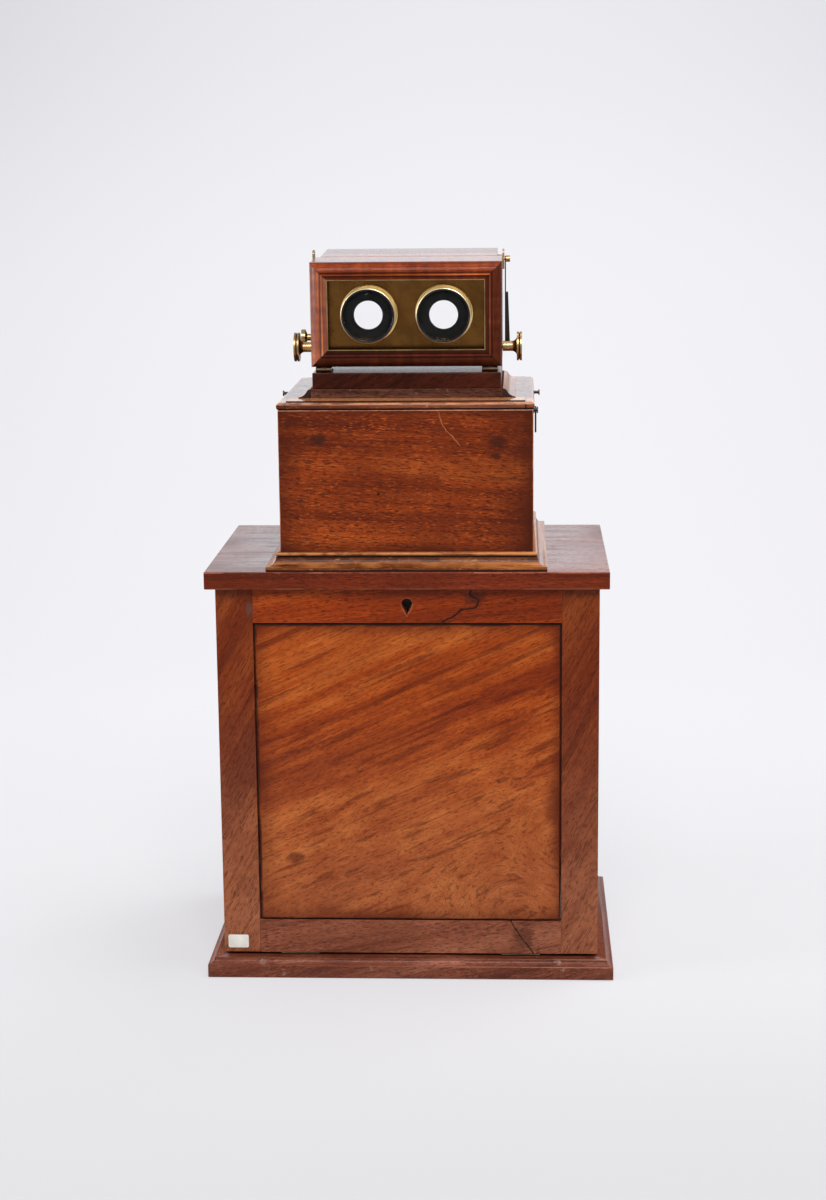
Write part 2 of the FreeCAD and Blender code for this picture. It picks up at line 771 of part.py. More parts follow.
# Latch hooks hang on shouldered screws, with a side notch that takes the lid's pin
notch_radius = cell.pin_radius + cell.notch_clear
screws = []
for side, sign in (("left", -1), ("right", 1)):
    hook_face = half_case + cell.hook_standoff
    hook_span = beside(sign, hook_face, hook_face + cell.hook_thick)
    through = beside(sign, half_case, hook_face + cell.hook_thick * 2)
    tail_level = -cell.hook_reach - cell.hook_tail + cell.hook_width / 2
    half_hook = cell.hook_width / 2
    shank = block("hook_shank_" + side, hook_span, (-half_hook, half_hook), (tail_level, 0))
    eye = rod_x("hook_eye_" + side, cell.hook_eye, hook_span, 0, 0)
    tail = rod_x("hook_tail_" + side, half_hook, hook_span, 0, tail_level)
    hole = rod_x("hook_hole_" + side, cell.screw_radius + cell.running_fit, through, 0, 0)
    notch = rod_x("hook_notch_" + side, notch_radius, through, 0, -cell.hook_reach)
    mouth_height = (-cell.hook_reach - notch_radius, notch_radius - cell.hook_reach)
    mouth = block("hook_mouth_" + side, through, (0, cell.hook_width), mouth_height)
    plate = fuse("hook_plate_" + side, [shank, eye, tail])
    hook = cut("latch_hook_" + side, plate, [hole, notch, mouth])
    keep(seat(hook, 0, 0, hook_level))
    shoulder_end = hook_face - cell.hook_play
    head_start = hook_face + cell.hook_thick + cell.hook_play
    shank_span = beside(sign, half_case - cell.screw_depth, head_start)
    shoulder_span = beside(sign, half_case, shoulder_end)
    head_span = beside(sign, head_start, head_start + cell.screw_head_thick)
    screws.append(fuse("hook_screw_" + side, [
        rod_x("screw_shank_" + side, cell.screw_radius, shank_span, 0, hook_level),
        rod_x("screw_shoulder_" + side, cell.screw_head, shoulder_span, 0, hook_level),
        rod_x("screw_top_" + side, cell.screw_head, head_span, 0, hook_level),
    ]))
keep(group("hook_screws", screws))

# Lid: a half-round board with a raised field, drilled for the latch pins
half_lid = half_case + cell.lid_overhang
half_lid_depth = case_half_depth + cell.lid_overhang
lid_outline = [
    (-half_lid, -half_lid_depth),
    (half_lid, -half_lid_depth),
    (half_lid, half_lid_depth),
    (-half_lid, half_lid_depth),
]
lid_slab = prism("lid_slab", "XY_Plane", [lid_outline], cell.lid_thick)
round_edges(lid_slab, "lid_half_round", cell.lid_round, False)
seat(lid_slab, 0, 0, case_top)
field_half = half_lid - cell.lid_field_inset
field_half_depth = half_lid_depth - cell.lid_field_inset
field_rise = (lid_level - cell.lid_field, field_level)
field_depth = (-field_half_depth, field_half_depth)
lid_field = block("lid_raised_field", (-field_half, field_half), field_depth, field_rise)
pin_holes = []
pins = []
for side, sign in (("left", -1), ("right", 1)):
    pin_end = half_lid + cell.pin_length
    pin_span = beside(sign, half_lid - cell.pin_depth, pin_end)
    pin_holes.append(rod_x("pin_hole_" + side, cell.pin_radius, pin_span, 0, pin_level))
    head_span = beside(sign, pin_end - cell.pin_head_thick, pin_end)
    pins.append(fuse("latch_pin_" + side, [
        rod_x("pin_shank_" + side, cell.pin_radius, pin_span, 0, pin_level),
        rod_x("pin_top_" + side, cell.pin_head, head_span, 0, pin_level),
    ]))
keep(cut("lid_board", fuse("lid_solid", [lid_slab, lid_field]), pin_holes))
keep(group("latch_pins", pins))

# Core board with its bare front, and the ogee on its other three sides
core_half = cell.core_width / 2
core_rear = cell.core_depth / 2
keep(block("lid_core", (-core_half, core_half), (core_front, core_rear), (field_level, core_level)))
ogee_lip = cell.ogee_width * 0.06
ogee_waist = (cell.ogee_width * 0.62, cell.core_thick * 0.58)
ogee_profile = [
    (0, 0),
    (cell.ogee_width, 0),
    (cell.ogee_width, cell.core_thick),
    (cell.ogee_width - ogee_lip, cell.core_thick, cell.ogee_swell),
    (ogee_waist[0], ogee_waist[1], -cell.ogee_hollow),
    (0, ogee_lip),
]
ogee_run = cell.core_depth + cell.ogee_width
ogee_half = core_half + cell.ogee_width
ogee_right = moulding("ogee_right", ogee_profile, cell.ogee_width, ogee_run, (False, True))
seat(turn_flat(ogee_right, 1), ogee_half, core_front, field_level)
ogee_left = moulding("ogee_left", ogee_profile, cell.ogee_width, ogee_run, (True, False))
seat(turn_flat(ogee_left, 3), -ogee_half, core_rear + cell.ogee_width, field_level)
keep(group("lid_ogee_sides", [ogee_left, ogee_right]))
ogee_back = moulding("lid_ogee_back", ogee_profile, cell.ogee_width, ogee_half * 2)
keep(seat(turn_flat(ogee_back, 2), ogee_half, core_rear + cell.ogee_width, field_level))

# Tilt board and the hinges under the head's front edge
half_board = cell.board_width / 2
keep(block("tilt_board", (-half_board, half_board), (core_front, core_rear), (core_level, board_level)))
tilt_y = core_front + cell.hinge_setback
tilt_z = board_level + cell.head_gap / 2
half_head = cell.head_width / 2


def on_head(piece):
    # Turns a piece drawn about the tilt axis to the angle at which the head stands.
    piece.Placement = FreeCAD.Placement(FreeCAD.Vector(), FreeCAD.Rotation(axis_x, cell.head_tilt.value))
    bind(piece, "Placement.Rotation.Angle", cell.head_tilt)
    return keep(seat(piece, 0, tilt_y, tilt_z))


board_leaves = []
head_leaves = []
hinge_starts = {
    "left": -half_head + cell.tilt_hinge_inset,
    "right": half_head - cell.tilt_hinge_inset - cell.tilt_hinge_length,
}
for side, start in hinge_starts.items():
    lower, upper = butt_hinge(
        "tilt_hinge_" + side, cell.tilt_hinge_length, cell.tilt_hinge_width, cell.tilt_hinge_radius,
        cell.tilt_hinge_leaf, cell.tilt_hinge_pin, cell.head_gap,
    )
    board_leaves.append(seat(lower, start, tilt_y, tilt_z))
    head_leaves.append(seat(upper, start, 0, 0))
keep(group("tilt_hinge_board_leaves", board_leaves))
on_head(group("tilt_hinge_head_leaves", head_leaves))

# Slotted quadrant on the board's left edge, struck from the tilt axis
slot_half = cell.clamp_screw + cell.quadrant_gap
slot_low = cell.clamp_angle + cell.head_tilt - cell.tilt_fall - cell.slot_spare
slot_high = cell.clamp_angle + cell.head_tilt + cell.tilt_rise + cell.slot_spare
band_inner = cell.clamp_radius - cell.quadrant_band
band_outer = cell.clamp_radius + cell.quadrant_band
band_low = slot_low - cell.quadrant_end
band_high = slot_high + cell.quadrant_end


def polar(radius, angle):
    return cosine(angle) * radius, sine(angle) * radius


def slot_tip(angle, sign):
    along = slot_half * sign
    y, z = polar(cell.clamp_radius, angle)
    return y - sine(angle) * along, z + cosine(angle) * along


band_outline = [
    polar(band_inner, band_low),
    polar(band_outer, band_low) + (band_outer,),
    polar(band_outer, band_high),
    polar(band_inner, band_high) + (-band_inner,),
]
slot_outline = [
    polar(cell.clamp_radius + slot_half, slot_low) + (cell.clamp_radius + slot_half,),
    polar(cell.clamp_radius + slot_half, slot_high) + (slot_half,),
    slot_tip(slot_high, 1) + (slot_half,),
    polar(cell.clamp_radius - slot_half, slot_high) + (slot_half - cell.clamp_radius,),
    polar(cell.clamp_radius - slot_half, slot_low) + (slot_half,),
    slot_tip(slot_low, -1) + (slot_half,),
]
quadrant_inner = -half_head - cell.quadrant_gap
quadrant_outer = quadrant_inner - cell.quadrant_thick
band = prism("quadrant_band", "YZ_Plane", [band_outline, slot_outline], cell.quadrant_thick)
seat(band, quadrant_outer, tilt_y, tilt_z)
foot_depth = (tilt_y + polar(band_inner, band_low)[0], tilt_y + polar(band_outer, band_low)[0])
foot_top = tilt_z + polar(band_outer, band_low)[1]
foot_low = board_level - cell.quadrant_foot
foot = block("quadrant_foot", (quadrant_outer, quadrant_inner), foot_depth, (foot_low, foot_top))
pad_top = board_level - cell.quadrant_thick
pad = block("quadrant_pad", (quadrant_outer, -half_board), foot_depth, (foot_low, pad_top))
keep(fuse("tilt_quadrant", [band, foot, pad]))

# Head box, drawn about the tilt axis and then turned
head_foot = cell.head_gap / 2
head_front = -cell.hinge_setback
head_rear = head_front + cell.head_depth
frame_back = head_front + cell.frame_depth
head_crown = head_foot + cell.head_height
wall_foot = head_foot + cell.head_floor
wall_top = head_crown - cell.head_top
inner_head = half_head - cell.head_wall
head_back_face = head_rear - cell.head_back
shaft_y = head_front + cell.shaft_setback
shaft_z = head_foot + cell.shaft_rise
opening_foot = head_foot + cell.frame_width
opening_top = head_crown - cell.frame_width
lens_z = (opening_foot + opening_top) / 2
pitch_radius = cell.gear_module * pinion_teeth / 2
pitch_level = shaft_z + pitch_radius + cell.gear_backlash / 2
plate_front = frame_back + cell.focus_forward + cell.plate_clear
plate_back = plate_front + cell.plate_thick
rack_rear = plate_back + cell.rack_length
runner_foot = pitch_level + cell.gear_module * root_share + cell.runner_lift
rack_top = pitch_level + cell.rack_height
clamp_y, clamp_z = polar(cell.clamp_radius, cell.clamp_angle)
full_head = (-half_head, half_head)


def on_head_block(name, x, y, z):
    # One plain board of the head, placed in the turned frame.
    board = doc.addObject("Part::Box", name)
    board.Placement = FreeCAD.Placement(FreeCAD.Vector(), FreeCAD.Rotation(axis_x, cell.head_tilt.value))
    for setting, (start, end) in zip(("Length", "Width", "Height"), (x, y, z)):
        bind(board, setting, as_size(end) - start)
    bind(board, "Placement.Rotation.Angle", cell.head_tilt)
    return keep(seat(board, x[0], *turned_point(y[0], z[0])))


def turned_point(y, z):
    rise = cell.head_tilt
    return tilt_y + y * cosine(rise) - z * sine(rise), tilt_z + y * sine(rise) + z * cosine(rise)


on_head_block("head_floor", full_head, (frame_back, head_rear), (head_foot, wall_foot))
seam = head_front + cell.seam_setback
on_head_block("head_top_strip", full_head, (frame_back, seam), (wall_top, head_crown))
septum_half = cell.septum_thick / 2
slot_rear = head_back_face - cell.card_slot_gap
slot_front = slot_rear - cell.card_slot
mirror_foot = wall_top + cell.flap_clear - cell.mirror_thick
septum_top = mirror_foot - cell.mirror_thick
septum_depth = (head_front + cell.septum_start, slot_front - cell.septum_gap)
on_head_block("septum", (-septum_half, septum_half), septum_depth, (wall_foot, septum_top))
for side, sign in (("left", -1), ("right", 1)):
    wall_span = beside(sign, inner_head, half_head)
    wall = block("wall_board_" + side, wall_span, (frame_back, head_rear), (wall_foot, wall_top))
    groove_deep = inner_head + cell.runner_out + cell.runner_clear
    groove_rear = rack_rear + cell.focus_back + cell.runner_clear * 2
    groove_height = (runner_foot - cell.runner_clear, rack_top + cell.runner_clear)
    spare = cell.head_wall
    inside = inner_head - spare
    groove_span = beside(sign, inside, groove_deep)
    card_span = beside(sign, inside, inner_head + cell.card_slot_depth)
    card_rise = (wall_foot + cell.card_slot, wall_top + spare)
    bush_span = beside(sign, inside, half_head + spare)
    tools = [
        block("runner_groove_" + side, groove_span, (frame_back - spare, groove_rear), groove_height),
        block("card_groove_" + side, card_span, (slot_front, slot_rear), card_rise),
        rod_x("bush_hole_" + side, cell.bush_radius, bush_span, shaft_y, shaft_z),
    ]
    if side == "left":
        clamp_span = beside(sign, half_head - cell.clamp_depth - cell.running_fit, half_head + spare)
        tools.append(rod_x("clamp_hole", cell.clamp_screw + cell.running_fit, clamp_span, clamp_y, clamp_z))
    on_head(cut("head_%s_wall" % side, wall, tools))

# Back frame between the walls with a ground glass let into its inner face
back_span = (-inner_head, inner_head)
back_board = block("back_board", back_span, (head_back_face, head_rear), (wall_foot, wall_top))
half_window = cell.window_width / 2
window_low = lens_z - cell.window_height / 2
window_high = lens_z + cell.window_height / 2
through = (head_back_face - cell.head_back, head_rear + cell.head_back)
window = block("back_window", (-half_window, half_window), through, (window_low, window_high))
lap = cell.glass_lap
rebate_half = half_window + lap + cell.glass_clear
rebate_height = (window_low - lap - cell.glass_clear, window_high + lap + cell.glass_clear)
rebate_depth = (head_back_face - cell.head_back, head_back_face + cell.glass_thick)
rebate = block("back_rebate", (-rebate_half, rebate_half), rebate_depth, rebate_height)
on_head(cut("head_back_frame", back_board, [window, rebate]))
glass_half = half_window + lap
glass_depth = (head_back_face, head_back_face + cell.glass_thick)
on_head_block("ground_glass", (-glass_half, glass_half), glass_depth, (window_low - lap, window_high + lap))

# Mitred front frame: a swelling outer band, a bead and a sunk inner strip
swell_width = cell.frame_width - cell.frame_strip - cell.frame_bead
frame_profile = [
    (0, 0),
    (cell.frame_width, 0),
    (cell.frame_width, cell.frame_depth - cell.frame_sink),
    (cell.frame_width - cell.frame_strip, cell.frame_depth - cell.frame_sink),
    (cell.frame_width - cell.frame_strip, cell.frame_depth),
    (swell_width, cell.frame_depth, cell.frame_round),
    (0, cell.frame_land),
]
frame_corners = (
    ("bottom", -half_head, head_foot, cell.head_width),
    ("right", half_head, head_foot, cell.head_height),
    ("top", half_head, head_crown, cell.head_width),
    ("left", -half_head, head_crown, cell.head_height),
)
frame_lengths = []
upright = FreeCAD.Rotation(axis_x, 90)
for quarter, (side, x, z, length) in enumerate(frame_corners):
    body = moulding("frame_" + side, frame_profile, cell.frame_width, length)
    turn = upright.multiply(FreeCAD.Rotation(axis_z, 90 * quarter))
    body.Placement = FreeCAD.Placement(FreeCAD.Vector(), turn)
    frame_lengths.append(seat(body, x, frame_back, z))
on_head(group("front_frame", frame_lengths))

# Lens plate behind the frame, drilled for the two lens tubes
half_spacing = cell.lens_spacing / 2
lens_places = (("left", -half_spacing), ("right", half_spacing))
plate_half = half_head - cell.frame_width + cell.plate_lap
plate_height = (opening_foot - cell.plate_lap, opening_top + cell.plate_lap)
plate_board = block("plate_board", (-plate_half, plate_half), (plate_front, plate_back), plate_height)
spigot_radius = cell.tube_radius - cell.tube_wall
plate_holes = []
for side, x in lens_places:
    hole_depth = (plate_front - cell.plate_thick, plate_back + cell.plate_thick)
    plate_holes.append(rod_y("plate_hole_" + side, spigot_radius, x, hole_depth, lens_z))
on_head(cut("lens_plate", plate_board, plate_holes))

# Lens tubes, stops and lenses, turned about Y from the tube's front rim
bore = cell.tube_radius - cell.tube_wall
tube_rear = cell.tube_length + cell.plate_thick + cell.spigot_length
stop_front = cell.lens_setback + cell.lens_thick
seat_front = stop_front + cell.stop_thick
spigot_bore = spigot_radius - cell.spigot_wall
tube_points = [
    (bore, 0),
    (cell.tube_radius, 0),
    (cell.tube_radius, cell.tube_length - cell.flange_thick),
    (cell.flange_radius, cell.tube_length - cell.flange_thick),
    (cell.flange_radius, cell.tube_length),
    (spigot_radius, cell.tube_length),
    (spigot_radius, tube_rear),
    (spigot_bore, tube_rear),
    (spigot_bore, seat_front),
    (bore, seat_front),
]
glass_radius = bore - cell.glass_fit
stop_points = [
    (cell.stop_bore, stop_front),
    (glass_radius, stop_front),
    (glass_radius, seat_front),
    (cell.stop_bore, seat_front),
]
sag = cell.lens_thick - cell.lens_edge
lens_curve = (glass_radius * glass_radius + sag * sag) / (sag * 2)
lens_points = [
    (0, cell.lens_setback, lens_curve),
    (glass_radius, stop_front - cell.lens_edge),
    (glass_radius, stop_front),
    (0, stop_front),
]
tube_front = plate_front - cell.tube_length
for label, points in (("lens_tubes", tube_points), ("lens_stops", stop_points), ("lenses", lens_points)):
    pair = []
    for side, x in lens_places:
        body = turned("%s_%s" % (label, side), "V_Axis", points)
        pair.append(seat(body, x, tube_front, lens_z))
    on_head(group(label, pair))


# Focus gears: an involute pinion on the shaft and a straight-flanked rack above it.
# The rack's teeth are short enough to clear the pinion's undercut.
def pinion_shape(module, backlash, width):
    pitch = module * pinion_teeth / 2
    base = pitch * math.cos(math.radians(pressure_angle))
    tip = pitch + module
    root = pitch - module * root_share
    half_angle = (math.pi * module / 2 - backlash / 2) / (2 * pitch)
    involute = math.tan(math.radians(pressure_angle)) - math.radians(pressure_angle)
    flank = []
    for step in range(flank_steps + 1):
        radius = base + (tip - base) * step / flank_steps
        roll = math.sqrt(max((radius / base) ** 2 - 1, 0.0))
        flank.append((radius, half_angle + involute - (roll - math.atan(roll))))
    flank.insert(0, (root, flank[0][1]))
    corners = []
    for tooth in range(pinion_teeth):
        middle = 2 * math.pi * (tooth + 0.5) / pinion_teeth + math.pi / 2
        sides = [(radius, middle - angle) for radius, angle in flank]
        sides += [(radius, middle + angle) for radius, angle in reversed(flank)]
        for radius, angle in sides:
            corners.append(FreeCAD.Vector(0, radius * math.cos(angle), radius * math.sin(angle)))
    outline = Part.makePolygon(corners + corners[:1])
    return Part.Face(outline).extrude(FreeCAD.Vector(width, 0, 0))


def rack_teeth(module, backlash, width, rear, front, height):
    # Teeth point down from the pitch line, with one tooth over the shaft.
    pitch = math.pi * module
    slope = math.tan(math.radians(pressure_angle))
    tip_drop = module * rack_addendum_share
    root_rise = module * root_share
    half_pitch = pitch / 4 - backlash / 4
    half_tip = half_pitch - tip_drop * slope
    half_root = half_pitch + root_rise * slope
    corners = [FreeCAD.Vector(0, front, height), FreeCAD.Vector(0, front, root_rise)]
    first = math.ceil((front + half_root) / pitch)
    last = math.floor((rear - half_root) / pitch)
    for tooth in range(first, last + 1):
        middle = tooth * pitch
        flank = ((half_root, root_rise), (half_tip, -tip_drop))
        for along, level in flank:
            corners.append(FreeCAD.Vector(0, middle - along, level))
        for along, level in reversed(flank):
            corners.append(FreeCAD.Vector(0, middle + along, level))
    corners += [FreeCAD.Vector(0, rear, root_rise), FreeCAD.Vector(0, rear, height)]
    outline = Part.makePolygon(corners + corners[:1])
    return Part.Face(outline).extrude(FreeCAD.Vector(width, 0, 0))


rack_inner = inner_head - cell.pinion_gap - cell.rack_width
pinion_inner = inner_head - cell.pinion_gap - cell.pinion_width
module_value = cell.gear_module.value
racks = []
pinions = []
for side, sign in (("left", -1), ("right", 1)):
    teeth = doc.addObject("Part::Feature", "rack_teeth_" + side)
    teeth.Shape = rack_teeth(
        module_value, cell.gear_backlash.value, cell.rack_width.value,
        (rack_rear - shaft_y).value, (plate_back - shaft_y).value, cell.rack_height.value,
    )
    seat(teeth, beside(sign, rack_inner, rack_inner + cell.rack_width)[0], shaft_y, pitch_level)
    runner_span = beside(sign, rack_inner + cell.rack_width / 2, inner_head + cell.runner_out)
    runner = block("rack_runner_" + side, runner_span, (plate_back, rack_rear), (runner_foot, rack_top))
    racks.append(fuse("focus_rack_" + side, [teeth, runner]))
    wheel = doc.addObject("Part::Feature", "pinion_wheel_" + side)
    wheel.Shape = pinion_shape(module_value, cell.gear_backlash.value, cell.pinion_width.value)
    pinion_span = beside(sign, pinion_inner, pinion_inner + cell.pinion_width)
    seat(wheel, pinion_span[0], shaft_y, shaft_z)
    eye = rod_x("pinion_eye_" + side, cell.shaft_radius, pinion_span, shaft_y, shaft_z)
    pinions.append(cut("focus_pinion_" + side, wheel, [eye]))
on_head(group("focus_racks", racks))
on_head(group("focus_pinions", pinions))

# Focus shaft in its bushes, with a flared and grooved knob at each end
shaft_half = half_head + cell.knob_reach - cell.knob_rim
shaft_rod = rod_x("shaft_rod", cell.shaft_radius, (-shaft_half, shaft_half), shaft_y, shaft_z)
on_head(group("focus_shaft", [shaft_rod]))
bushes = []
knobs = []
for side, sign in (("left", -1), ("right", 1)):
    sleeve_span = beside(sign, inner_head, half_head)
    sleeve = rod_x("bush_sleeve_" + side, cell.bush_radius, sleeve_span, shaft_y, shaft_z)
    hole_span = beside(sign, inner_head - cell.head_wall, half_head + cell.head_wall)
    hole = rod_x("bush_bore_" + side, cell.shaft_radius + cell.running_fit, hole_span, shaft_y, shaft_z)
    bushes.append(cut("shaft_bush_" + side, sleeve, [hole]))
    reach = cell.knob_reach - cell.knob_gap
    rim_start = reach - cell.knob_rim
    flare_start = rim_start - cell.knob_flare
    rim_middle = rim_start + cell.knob_rim / 2
    groove_half = cell.knob_groove / 2
    knob_points = [
        (0, cell.shaft_radius),
        (rim_start, cell.shaft_radius),
        (rim_start, 0),
        (reach, 0),
        (reach, cell.knob_radius),
        (rim_middle + groove_half, cell.knob_radius),
        (rim_middle, cell.knob_radius - cell.knob_groove),
        (rim_middle - groove_half, cell.knob_radius),
        (rim_start, cell.knob_radius),
        (rim_start, cell.knob_neck + cell.knob_flare, -cell.knob_flare),
        (flare_start, cell.knob_neck),
        (0, cell.knob_neck),
    ]
    knob = turned("focus_knob_" + side, "H_Axis", knob_points)
    if sign < 0:
        knob.Placement = FreeCAD.Placement(FreeCAD.Vector(), FreeCAD.Rotation(axis_z, 180))
    knobs.append(seat(knob, (half_head + cell.knob_gap) * sign, shaft_y, shaft_z))
on_head(group("shaft_bushes", bushes))
on_head(group("focus_knobs", knobs))

# Reflector flap: rounded at its pivots, with a mirror on its inner face
flap_foot = wall_top + cell.flap_clear
flap_round = (head_crown - flap_foot) / 2
pivot_y = seam + cell.flap_gap + flap_round
pivot_z = flap_foot + flap_round
half_flap = half_head - cell.flap_inset
flap_board = block("flap_board", (-half_flap, half_flap), (pivot_y, head_rear), (flap_foot, head_crown))
flap_nose = rod_x("flap_nose", flap_round, (-half_flap, half_flap), pivot_y, pivot_z)
flap_holes = []
pivots = []
ears = []
for side, sign in (("left", -1), ("right", 1)):
    hole_span = beside(sign, half_flap - cell.pivot_depth, half_flap + cell.flap_inset)
    flap_holes.append(rod_x("flap_hole_" + side, cell.pivot_radius, hole_span, pivot_y, pivot_z))
    ear_face = half_head + cell.ear_thick
    end = ear_face + cell.lever_gap
    if side == "right":
        end = end + cell.lever_thick
    pivot_span = beside(sign, half_flap - cell.pivot_depth, end)
    pivots.append(rod_x("flap_pivot_" + side, cell.pivot_radius, pivot_span, pivot_y, pivot_z))
    ear_span = beside(sign, half_head, ear_face)
    ear_depth = (pivot_y - cell.ear_radius, pivot_y + cell.ear_radius)
    ear_plate = fuse("ear_plate_" + side, [
        block("ear_shank_" + side, ear_span, ear_depth, (pivot_z - cell.ear_drop, pivot_z)),
        rod_x("ear_round_" + side, cell.ear_radius, ear_span, pivot_y, pivot_z),
    ])
    ear_hole_span = beside(sign, half_head - cell.ear_thick, ear_face + cell.ear_thick)
    ear_bore = cell.pivot_radius + cell.running_fit
    ear_hole = rod_x("ear_hole_" + side, ear_bore, ear_hole_span, pivot_y, pivot_z)
    ears.append(cut("flap_ear_" + side, ear_plate, [ear_hole]))
on_head(cut("reflector_flap", fuse("flap_solid", [flap_board, flap_nose]), flap_holes))
on_head(group("flap_pivots", pivots))
on_head(group("flap_ears", ears))
mirror_half = inner_head - cell.mirror_margin
mirror_depth = (pivot_y + cell.mirror_margin, head_back_face - cell.mirror_margin / 2)
on_head_block("reflector_mirror", (-mirror_half, mirror_half), mirror_depth, (mirror_foot, flap_foot))

# Side lever on the right pivot, with its black grip and the nut that holds it
lever_face = half_head + cell.ear_thick + cell.lever_gap
lever_span = (lever_face, lever_face + cell.lever_thick)
half_lever = cell.lever_width / 2
grip_head = pivot_z - cell.lever_length + cell.grip_length
lever_strip = fuse("lever_strip", [
    block("lever_shank", lever_span, (pivot_y - half_lever, pivot_y + half_lever), (grip_head, pivot_z)),
    rod_x("lever_round", half_lever, lever_span, pivot_y, pivot_z),
])
lever_hole_span = (lever_face - cell.lever_thick, lever_face + cell.lever_thick * 2)
lever_hole = rod_x("lever_hole", cell.pivot_radius, lever_hole_span, pivot_y, pivot_z)
on_head(cut("flap_lever", lever_strip, [lever_hole]))
grip_outline = [
    (0, 0),
    (cell.grip_foot, 0),
    (cell.grip_top, cell.grip_length),
    (0, cell.grip_length),
]
grip = prism("grip_body", "XZ_Plane", [grip_outline], cell.grip_width)
seat(grip, lever_face, pivot_y + cell.grip_width / 2, pivot_z - cell.lever_length)
on_head(group("lever_grip", [grip]))
nut_span = (lever_span[1], lever_span[1] + cell.nut_thick)
on_head(group("lever_nut", [rod_x("nut_round", cell.nut_radius, nut_span, pivot_y, pivot_z)]))

# Tilt clamp: a screw through the quadrant's slot with a collar and a small flared knob
clamp_base = cell.quadrant_gap * 2 + cell.quadrant_thick
clamp_rim_start = cell.clamp_reach - cell.clamp_rim
clamp_points = [
    (-cell.clamp_depth, 0),
    (cell.clamp_reach, 0),
    (cell.clamp_reach, cell.clamp_disc),
    (clamp_rim_start, cell.clamp_disc),
    (clamp_rim_start - cell.clamp_rim / 2, cell.clamp_neck),
    (clamp_base + cell.quadrant_thick, cell.clamp_neck),
    (clamp_base + cell.quadrant_thick, cell.clamp_collar),
    (clamp_base, cell.clamp_collar),
    (clamp_base, cell.clamp_screw),
    (-cell.clamp_depth, cell.clamp_screw),
]
clamp = turned("clamp_turning", "H_Axis", clamp_points)
clamp.Placement = FreeCAD.Placement(FreeCAD.Vector(), FreeCAD.Rotation(axis_z, 180))
on_head(group("tilt_clamp_knob", [seat(clamp, -half_head, clamp_y, clamp_z)]))

# Build, check every object, then write one file for each node
doc.recompute()
for item in doc.Objects:
    if "Invalid" in item.State or "Error" in item.State:
        raise RuntimeError("%s failed to build" % item.Name)
for node in nodes:
    if node.Shape.isNull() or not node.Shape.isValid():
        raise RuntimeError("%s has no valid shape" % node.Label)
os.makedirs("parts", exist_ok=True)
for node in nodes:
    node.Shape.exportStep("parts/%s.step" % node.Label)
print("%d nodes" % len(nodes))
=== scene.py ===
import bpy
import bmesh
import json
import math
from mathutils import Matrix, Vector


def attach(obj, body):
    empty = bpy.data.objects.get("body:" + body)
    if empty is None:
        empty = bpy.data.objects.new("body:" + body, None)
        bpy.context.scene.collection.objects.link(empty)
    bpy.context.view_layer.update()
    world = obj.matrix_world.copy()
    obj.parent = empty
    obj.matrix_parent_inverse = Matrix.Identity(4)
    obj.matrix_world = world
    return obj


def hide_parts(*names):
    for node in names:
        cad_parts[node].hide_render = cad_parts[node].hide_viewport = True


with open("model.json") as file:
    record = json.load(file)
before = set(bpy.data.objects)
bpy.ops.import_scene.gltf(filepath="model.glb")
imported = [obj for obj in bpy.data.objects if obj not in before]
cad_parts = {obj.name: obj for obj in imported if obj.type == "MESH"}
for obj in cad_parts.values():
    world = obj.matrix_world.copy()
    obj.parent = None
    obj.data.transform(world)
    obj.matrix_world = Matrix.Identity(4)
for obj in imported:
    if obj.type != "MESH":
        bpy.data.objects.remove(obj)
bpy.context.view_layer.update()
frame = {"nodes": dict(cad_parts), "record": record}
nodes = frame["nodes"]
bodyOf = {}
for bodyName, members in frame["record"]["behaviour"]["bodies"].items():
    for member in members:
        bodyOf[member] = bodyName
print("frame loaded:", len(nodes), "nodes")


